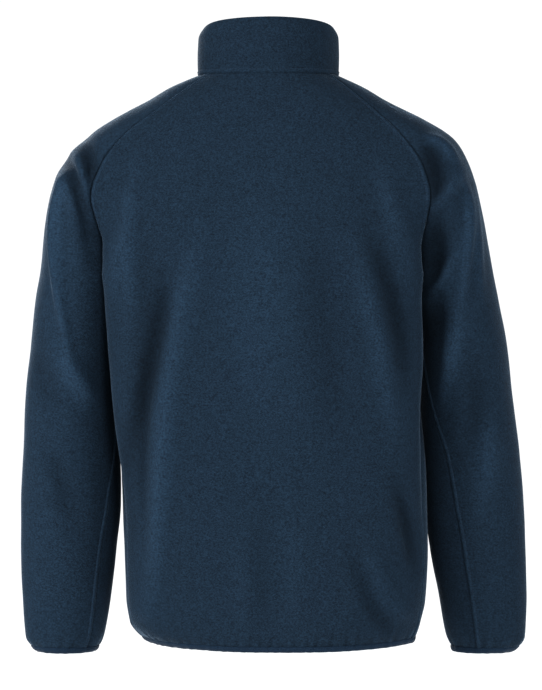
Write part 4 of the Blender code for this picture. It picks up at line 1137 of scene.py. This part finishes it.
def size_of(grid):
    """A panel's width and length along the cloth: its longest row and its longest column."""
    rows = lengths(grid)[:, -1].max()
    columns = lengths(grid.transpose(1, 0, 2))[:, -1].max()
    return float(rows), float(columns)


print("the back's area:", round(area_of(grids["back"]), 3), "m2")


# %% [markdown]
# ## Painted light and shade on the folds
#
# The attribute of painted light and shade that the fleece reads is worked out with the shape, from the
# same folds and seams. It could be painted by hand on each panel, but then it would have to be painted
# again whenever a fold moves. The left sleeve as a whole also gets painted light, and the collar as a
# whole painted shade.

# %% Painted light and shade on the folds
# Painted light on the whole left sleeve and painted shade on the whole collar.
PANEL_PAINTED_SHADING = {"sleeve_left": 0.25, "collar": -0.1}
FOLD_SHADING_HEIGHT = 7 * MM
SEAM_SHADING_HEIGHT = 0.8 * MM


def painted_shading_of(name, points, relief):
    """Painted light and shade for the fleece's colour. On the folds it goes from -1, painted shade in
    a trough, to 1, a painted highlight on a ridge: the hyperbolic tangent of their height over 7 mm, a
    sleeve's back and front folds eased into each other. A panel's own share is added: painted light on
    the left sleeve and painted shade on the collar. To that a seam's welt adds up to 0.4 of painted
    highlight on the outer side, and its ditch takes up to 0.4 away as painted shade, in step with the
    relief up to 0.8 mm."""
    folds = {"sleeve_left": LEFT_FOLDS, "sleeve_right": RIGHT_FOLDS}.get(name, BODY_FOLDS)
    x, y, z = np.moveaxis(points, -1, 0)
    behind = ease((y + 36 * MM) / (48 * MM)) if "sleeve" in name else float(name == "back")
    height = behind * fold_height(folds, BACK, x, z)
    height = height + (1 - behind) * fold_height(folds, FRONT, x, z)
    painted_shading = np.tanh(height / FOLD_SHADING_HEIGHT) * (name != "collar") + PANEL_PAINTED_SHADING.get(name, 0.0)
    painted_shading[: len(relief)] += 0.4 * np.clip(relief / SEAM_SHADING_HEIGHT, -1, 1)
    return painted_shading


sheets = {}


def add_cloth(name, node, grid, outward, relief, material, slot, thickness=CLOTH, **edges):
    """A sheet of cloth that stands for a CAD node: the grid is its outer face, raised by the
    relief, and its inner face carries a softer trace of it."""
    outer = grid + outward * relief[..., None]
    inner = grid - outward * (thickness - 0.25 * np.minimum(relief, 0))[..., None]
    points, faces, uv = wall(outer, inner, **edges)
    piece = add_piece(name, points, faces, material, uv)
    # The fleece's colour gets its painted light and shade from this attribute of its points.
    if material == FLEECE:
        painted_shading = piece.data.attributes.new("painted_shading", "FLOAT", "POINT")
        painted_shading.data.foreach_set("value", painted_shading_of(node, points, relief).astype(np.float32).ravel())
    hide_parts(node)
    sheets[name] = (piece, size_of(grid), area_of(grid))
    print(f"{name}: {len(faces)} faces, {sheets[name][2]:.3f} m2")
    return outer


# Prints the panels that get painted light (the left sleeve) and painted shade (the collar) as a whole.
print("panels with painted light and shade:", PANEL_PAINTED_SHADING)

# %% [markdown]
# ## The fleece panels
#
# Every edge of a panel gets its own treatment. The raglan seams are topstitched on the body's
# side, the side seams on the back, the underarm seams on the sleeve's back and the neck seam on
# the collar. The cloth is folded back along the zip and stitched down there too. A table of how
# far each side is topstitched keeps all that in one place.

# %% The fleece panels
SIDE_DITCH, TOP_DITCH, BOTTOM_DITCH = 0.8, 0.35, 0.45  # how deep each edge's ditch is


def relief_of(name, first, last, bottom=0.0):
    """A panel's seams, pressed in: the sum of its four edges' profiles, each side topstitched as
    far as it says. The collar's top edge has no seam."""
    relief = press(first_edge[name], first, SIDE_DITCH) + press(last_edge[name], last, SIDE_DITCH)
    relief = relief + press(from_top[name], 0.0, TOP_DITCH) * (name != "collar")
    return relief + press(from_bottom[name], bottom, BOTTOM_DITCH)


def row_share(name, above, below):
    """One value for the rows above the armpit and another below it, eased over 8 rows."""
    rows = np.arange(len(grids[name]))[:, None]
    return above + (below - above) * ease((rows - RAGLAN + 4) / 8)


TOPSTITCH = {
    "back": (1.0, 1.0),
    "front_right": (0.7, row_share("front_right", 1, 0)),
    "front_left": (row_share("front_left", 1, 0), 0.7),
    "sleeve_left": (row_share("sleeve_left", 0, 1.5), 0.0),
    "sleeve_right": (0.0, row_share("sleeve_right", 0, 1.5)),
}
faces_out = {}
for name, (first, last) in TOPSTITCH.items():
    grid, outward = grids[name], normals[name]
    grid = grid + outward * undulation(grid)[..., None]
    side = LEFT if name.endswith("left") else RIGHT
    ring = CUFF_RINGS[side] if "sleeve" in name else HEM_RING
    relief = relief_of(name, first, last) + gathers(grid, ring, from_bottom[name])
    faces_out[name] = add_cloth(f"fleece_{name}", name, grid, outward, relief, FLEECE, "fleece")

collar = grids["collar"] + normals["collar"] * undulation(grids["collar"])[..., None]
faces_out["collar"] = add_cloth(
    "fleece_collar", "collar", collar, normals["collar"], relief_of("collar", 0.7, 0.7, bottom=0.6),
    FLEECE, "fleece", COLLAR_CLOTH, top=1.7 * MM, steps=5,
)

# %% [markdown]
# ## The elastic bindings
#
# A narrow ribbed elastic is folded over the raw edge at the hem and at each cuff. It is shorter
# than the cloth it binds, so it draws the cloth in and leaves small puckers above it. A bevelled
# curve could run round the hem, but the binding's rows come from the same functions as the
# panels' own, so it follows every fold that reaches the edge.

# %% The elastic bindings
BINDING_CLOTH = 3.0 * MM
HEM_FRONT_COLUMNS, HEM_BACK_COLUMNS, CUFF_COLUMNS = 64, 78, 130  # of half a hem and of a cuff


def hem_ring(levels):
    """Rows of the whole hem at heights, clockwise seen from above, from the zip round to the zip."""
    rows = (levels, levels + hem_rise(levels), 0 * levels)
    halves = []
    for side in (RIGHT, LEFT):
        start = front_start(side, rows, ZIP_HALF_OPENING)
        shares = np.linspace(0, 1, HEM_FRONT_COLUMNS)[None, :]
        front = body_row(FRONT, side, rows, start + (1 - start) * shares)
        back = body_row(BACK, side, rows, np.linspace(1, 0, HEM_BACK_COLUMNS)[None, :])
        halves.append(np.concatenate([front, back[:, 1:]], axis=1))
    return np.concatenate([halves[0], halves[1][:, -2::-1]], axis=1)


def binding_relief(rows, columns, puckers):
    """A binding's roll, in mm: 0.35 plus 0.75 times the sine of pi times the way down, less a bell
    at its top, where it tucks in, and one at a third, where the stitches hold it. The puckers of
    the cloth are added."""
    down = np.linspace(0, 1, rows)[:, None] + np.zeros((1, columns))
    tuck = -1.1 * np.exp(-((down / 0.12) ** 2)) - 0.5 * np.exp(-(((down - 0.34) / 0.07) ** 2))
    return (0.35 + 0.75 * np.sin(np.pi * down) + tuck) * MM + puckers


BINDING_ROWS = 10
STITCHED_ROW = 3  # the row of a binding that its stitches run along


def add_binding(name, grid, ring, closed):
    """A binding's wall on these rows, and the line of stitches that holds it."""
    outward = normals_of(grid, closed)
    grid = grid + outward * undulation(grid)[..., None]
    puckers = gathers(grid, ring, np.zeros(grid.shape[:2])) * 0.6
    relief = binding_relief(*grid.shape[:2], puckers)
    outer = add_cloth(
        f"elastic_{name}", name, grid, outward, relief, ELASTIC, "elastic",
        BINDING_CLOTH, closed=closed, bottom=1.3 * MM,
    )
    return outer[STITCHED_ROW], outward[STITCHED_ROW]


hem = hem_ring(np.linspace(HEM_EDGE_Z, HEM_Z, BINDING_ROWS))
hem_stitches = add_binding("hem_binding", hem, HEM_RING, False)
cuff_stitches = []
for side, name in ((LEFT, "cuff_binding_left"), (RIGHT, "cuff_binding_right")):
    u = np.linspace(0, 1, CUFF_COLUMNS, endpoint=False)
    cuff = sleeve_rows(side, np.linspace(CUFF_EDGE, CUFF_END, BINDING_ROWS), u)[:, :: int(side)]
    cuff_stitches.append(add_binding(name, cuff, CUFF_RINGS[side], True))

# %% [markdown]
# ## The zip's tapes
#
# A zip's two tapes are woven, and each is sewn under the folded edge of a front. A flat curve could
# carry them, but from the same rows as the fronts, a little further in, they bend with the cloth
# that holds them. Inside the collar a tape is only as wide as the opening, because its edge lies
# between the collar's two layers.

# %% The zip's tapes
TAPE_CLOTH = 0.8 * MM
TAPE_INNER = 1.6 * MM
TAPE_OUTER = 14 * MM
TAPE_INSET = 3.5 * MM
TAPE_END_Z = -721 * MM
# Every other row of the fronts, and one more at the tape's end.
ZIP_ROWS = [values[FRONT_ROWS[0] > TAPE_END_Z + 3 * MM][::2] for values in FRONT_ROWS]
ends = (TAPE_END_Z, TAPE_END_Z + float(hem_rise(TAPE_END_Z)), 0.0)
ZIP_ROWS = [np.r_[values, end] for values, end in zip(ZIP_ROWS, ends)]
COLLAR_UPS = np.linspace(0.95, 0.05, 19)


def zip_grid(side, distances):
    """Points of the outer surface beside the zip's middle, from the collar's top to the hem."""
    turns = np.array([collar_turn_at(d) for d in distances]) * side
    above = collar_point(turns[None, :], COLLAR_UPS[:, None] + 0 * turns)
    t = np.concatenate([front_start(side, ZIP_ROWS, d) for d in distances], axis=1)
    return np.concatenate([above, body_row(FRONT, side, ZIP_ROWS, t)])


for side, name in ((LEFT, "zip_tape_left"), (RIGHT, "zip_tape_right")):
    wide = zip_grid(side, np.linspace(TAPE_INNER, TAPE_OUTER, 5))
    narrow = zip_grid(side, np.linspace(TAPE_INNER, ZIP_HALF_OPENING - 0.6 * MM, 5))
    part = ease((np.arange(len(wide)) - len(COLLAR_UPS)) / 3)[:, None, None]
    tape = (narrow + (wide - narrow) * part)[:, :: -int(side)]
    outward = normals_of(tape)
    tape = tape - outward * TAPE_INSET
    flat = np.zeros(tape.shape[:2])
    add_cloth(f"woven_{name}", name, tape, outward, flat, TAPE, "zip_tape", TAPE_CLOTH)

line = (zip_grid(LEFT, [0.01 * MM])[:, 0] + zip_grid(RIGHT, [0.01 * MM])[:, 0]) / 2
zip_along = lengths(line[None])[0]
print("zip length:", round(float(zip_along[-1]), 3), "m")

# %% [markdown]
# ## The zip's teeth and metal parts
#
# The tapes carry moulded teeth, which mesh by turns from the left and from the right. Above the
# slider the two rows part. An Array modifier on a curve could repeat one tooth, but it can't swap
# sides or open the rows. Each tooth is the same 16-point block, so all of them are made in one
# numpy step: one block's points, turned and moved to each place on the line.

# %% The zip's teeth and metal parts
TOOTH_PITCH = 1.5 * MM
TOOTH = (3.6 * MM, 1.0 * MM, 2.0 * MM)  # across the zip, along it and out of it
TOOTH_OFFSET = 0.75 * MM
OPEN_BY = 1.5 * MM  # how far each row of teeth is parted above the slider
SLIDER_BELOW_TOP = 13 * MM
TEETH_START, TEETH_END = 3 * MM, 8.5 * MM  # below the zip's top and above its bottom
COIL_DEPTH = TAPE_INSET + TAPE_CLOTH / 2
STOP = (2.6 * MM, 3.0 * MM, 2.4 * MM)  # a top stop across the zip, along it and out of it
STOP_BELOW_TOP, STOP_ASIDE = 2.2 * MM, 2.7 * MM


def zip_places(distances):
    """Points on the zip's middle line this far from its top, with the directions across (to +X),
    down the line and out of it."""
    at = [np.interp(distances, zip_along, part) for part in line.T]
    ahead = [np.interp(distances + 2 * MM, zip_along, part) for part in line.T]
    behind = [np.interp(distances - 2 * MM, zip_along, part) for part in line.T]
    down = unit(np.stack(ahead, -1) - np.stack(behind, -1))
    across = np.broadcast_to([1.0, 0, 0], down.shape)
    return np.stack(at, -1), across, down, unit(np.cross(down, across))


def block(sizes, trim):
    """A box with its two ends drawn in to this share: 16 points in four rings along its length, and
    the faces that join them."""
    half = np.array(sizes) / 2
    square = np.array([(-1, -1), (1, -1), (1, 1), (-1, 1)])
    rings = []
    for along, shrink in ((-1, trim), (-0.7, 1), (0.7, 1), (1, trim)):
        ring = square * half[1:] * shrink
        rings.append(np.column_stack([np.full(4, along * half[0]), ring]))
    faces = [(3, 2, 1, 0), (12, 13, 14, 15)]
    for k in range(3):
        for c in range(4):
            d = (c + 1) % 4
            faces.append((4 * k + c, 4 * k + d, 4 * k + 4 + d, 4 * k + 4 + c))
    return np.concatenate(rings), np.array(faces, object)


def set_blocks(sizes, trim, places, offsets):
    """Copies of one block: at each place its points plus the place's offset, along the directions
    there."""
    origin, across, down, out = places
    points, faces = block(sizes, trim)
    frames = np.stack([across, down, out], axis=1)
    moved = points[None] + offsets[:, None]
    world = origin[:, None] + np.einsum("nvk,nkc->nvc", moved, frames)
    count = len(points)
    every = [tuple(int(v) + k * count for v in face) for k in range(len(origin)) for face in faces]
    return world.reshape(-1, 3), every


tooth_at = np.arange(TEETH_START, zip_along[-1] - TEETH_END, TOOTH_PITCH / 2)
side_of = np.where(np.arange(len(tooth_at)) % 2 == 0, 1.0, -1.0)
open_by = OPEN_BY * ease((SLIDER_BELOW_TOP - 8 * MM - tooth_at) / (4 * MM))
shift = np.zeros((len(tooth_at), 3))
shift[:, 0] = side_of * (TOOTH_OFFSET + open_by)
shift[:, 2] = -COIL_DEPTH
points, faces = set_blocks(TOOTH, 0.6, zip_places(tooth_at), shift)
add_piece("zip_coil", points, faces, COIL)
stop_shift = np.array([(STOP_ASIDE, 0, -COIL_DEPTH), (-STOP_ASIDE, 0, -COIL_DEPTH)])
points, faces = set_blocks(STOP, 0.75, zip_places(np.full(2, STOP_BELOW_TOP)), stop_shift)
add_piece("zip_top_stops", points, faces, METAL)
# The slider, its tab and the box are the CAD model's own pieces, and only get their finish.
for name in ("zip_slider", "zip_pull", "zip_box"):
    for place in range(len(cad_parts[name].material_slots)):
        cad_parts[name].material_slots[place].material = METAL
print("teeth:", len(tooth_at))

# %% [markdown]
# ## Stitches
#
# A stitch line could be projected on to the cloth as a curve, but one that follows a row or column
# of its panel can't drift from its seam. The line is measured along the cloth and cut into
# stitches of one length, each a small spindle of thread that dips into the cloth at both ends.

# %% Stitches
STITCH = 2.7 * MM
STITCH_PITCH = 3.4 * MM
THREAD_HALF = 0.33 * MM


def spindles(points, outward, length=STITCH, pitch=STITCH_PITCH, half=THREAD_HALF):
    """Stitches along a line, one to each pitch. Each is three diamond sections, and the end ones
    are a third as wide and sunk in the cloth."""
    along = lengths(points[None])[0]
    centres = np.arange(pitch / 2, along[-1] - pitch / 2, pitch)
    at = centres[:, None] + np.array([-0.5, 0, 0.5]) * length
    place = np.stack([np.interp(at, along, part) for part in points.T], -1)
    out = unit(np.stack([np.interp(at, along, part) for part in outward.T], -1))
    run = unit(place[:, 2:] - place[:, :1])
    beside = unit(np.cross(out, run))
    size = np.array([0.35, 1, 0.35])[None, :, None] * half
    lift = np.array([-0.15, 0.12, -0.15])[None, :, None] * MM
    middle = place + out * lift
    corners = (middle + beside * size, middle + out * size, middle - beside * size,
               middle - out * size)
    return np.stack(corners, axis=2).reshape(-1, 3)


def add_stitches(name, lines):
    """One mesh of all the stitches along these lines of points and outward directions."""
    points = np.concatenate([spindles(*line) for line in lines])
    one = [(0, 1, 2, 3), (11, 10, 9, 8)]
    one += [(4 * k + c, 4 * k + 4 + c, 4 * k + 4 + (c + 1) % 4, 4 * k + (c + 1) % 4)
            for k in range(2) for c in range(4)]
    start = np.arange(len(points) // 12)[:, None, None] * 12
    faces = (np.array(one)[None] + start).reshape(-1, 4).tolist()
    print(f"{name}: {len(points) // 12} stitches")
    return add_piece(name, points, faces, THREAD)


def edge_line(name, column=None, row=None, rows=slice(None), columns=slice(None)):
    """The points and directions of a panel's column or row."""
    if column is not None:
        return faces_out[name][rows, column], normals[name][rows, column]
    return faces_out[name][row, columns], normals[name][row, columns]


IN, OUT = STITCH_STEP, -1 - STITCH_STEP
STITCHING = {
    "fleece_back": [edge_line("back", IN), edge_line("back", OUT)],
    "fleece_front_right": [
        edge_line("front_right", IN), edge_line("front_right", OUT, rows=ABOVE)
    ],
    "fleece_front_left": [
        edge_line("front_left", OUT), edge_line("front_left", IN, rows=ABOVE)
    ],
    "fleece_sleeve_left": [edge_line("sleeve_left", IN, rows=BELOW)],
    "fleece_sleeve_right": [edge_line("sleeve_right", OUT, rows=BELOW)],
    "fleece_collar": [
        edge_line("collar", row=OUT, columns=slice(IN, OUT)),
        edge_line("collar", IN), edge_line("collar", OUT),
    ],
    "elastic_hem_binding": [hem_stitches],
    "elastic_cuff_binding_left": [cuff_stitches[0]],
    "elastic_cuff_binding_right": [cuff_stitches[1]],
}
stitching = {
    name: add_stitches(f"stitches_{name}", lines) for name, lines in STITCHING.items()
}

# %% [markdown]
# ## What each sheet was cut to
#
# Cloth can't stretch far, so a draped panel still has the area it was cut to. The sizes below are
# the cut pieces' own, laid flat, and are measured along the cloth instead of written down, so they
# stay true when a table changes. The collar is cut twice and the bindings are folded lengthwise.

# %% What each sheet was cut to
print({name: (np.round(size, 3), round(area, 4)) for name, (_, size, area) in sheets.items()})
for name, (piece, (width, length), area) in sheets.items():
    if "binding" in name:
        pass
    elif "tape" in name:
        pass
    else:
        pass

# %% [markdown]
# ## Floor and light
#
# Dark cloth needs its light from the side of the camera, soft enough to keep its folds gentle,
# and a bright surround that its loose fibres can pick up along the outline. Square area lights are
# a studio's soft boxes. A sun lamp would be simpler, but its shadows have hard edges. The strongest
# box is to one side behind the jacket, and two more light its front.

# %% Floor and light
FLOOR_Z = -1.45


def add_floor():
    """A pale floor, well below, as far down as the wearer's feet would be."""
    reach = 40.0
    mesh = bpy.data.meshes.new("floor")
    corners = [(-reach, -reach, FLOOR_Z), (reach, -reach, FLOOR_Z), (reach, reach, FLOOR_Z),
               (-reach, reach, FLOOR_Z)]
    mesh.from_pydata(corners, [], [(0, 1, 2, 3)])
    made = bpy.data.objects.new("floor", mesh)
    bpy.context.scene.collection.objects.link(made)
    mesh.materials.append(plain_finish("pale_floor", "#FBFBFB", "#FFFFFF", 0.95, scale=0.4, grain=0.0))


def add_light(name, place, target, size, watts):
    """A white square area light. Its tilt and its turn come from the arc tangents of the way to
    the point it is aimed at."""
    data = bpy.data.lights.new(name, "AREA")
    data.size, data.energy = size, watts
    made = bpy.data.objects.new(name, data)
    made.location = place
    aim = np.array(target) - np.array(place)
    made.rotation_euler = (
        math.atan2(math.hypot(aim[0], aim[1]), -aim[2]), 0, math.atan2(aim[0], -aim[1]) + math.pi
    )
    bpy.context.scene.collection.objects.link(made)
    return made


scene = bpy.context.scene
add_floor()
world = bpy.data.worlds.new("studio")
world.use_nodes = True
world.node_tree.nodes["Background"].inputs["Color"].default_value = (1, 1, 1, 1)
world.node_tree.nodes["Background"].inputs["Strength"].default_value = 1.05
scene.world = world
add_light("left_softbox", (2.8, 1.9, 1.0), (0, 0, -0.33), 1.1, 292)
add_light("right_softbox", (-2.9, 1.5, 0.5), (0, 0, -0.33), 1.1, 90)
add_light("back_fill", (-1.0, 3.3, 0.5), (0, 0, -0.35), 0.9, 80)
add_light("front_softbox", (1.5, -3.1, 0.9), (0, 0, -0.35), 1.1, 170)
add_light("front_fill", (-2.4, -2.2, 0.3), (0, 0, -0.35), 1.1, 50)
scene.view_settings.view_transform = "Standard"
scene.view_settings.gamma = 0.8

# %% [markdown]
# ## The camera
#
# The camera is level with the middle of the back and 3.2 m behind it. A lens this long keeps the
# sides of the jacket almost parallel, as clothes are usually shown. A short one close by would
# make the middle of the back bulge.

# %% The camera
camera = bpy.data.objects.new("camera", bpy.data.cameras.new("camera"))
camera.data.sensor_width = 36
camera.data.lens = 130.4
camera.location = (-0.0032, 3.2, -0.344)
camera.rotation_euler = (math.radians(90), 0, math.radians(180))
scene.collection.objects.link(camera)
scene.camera = camera
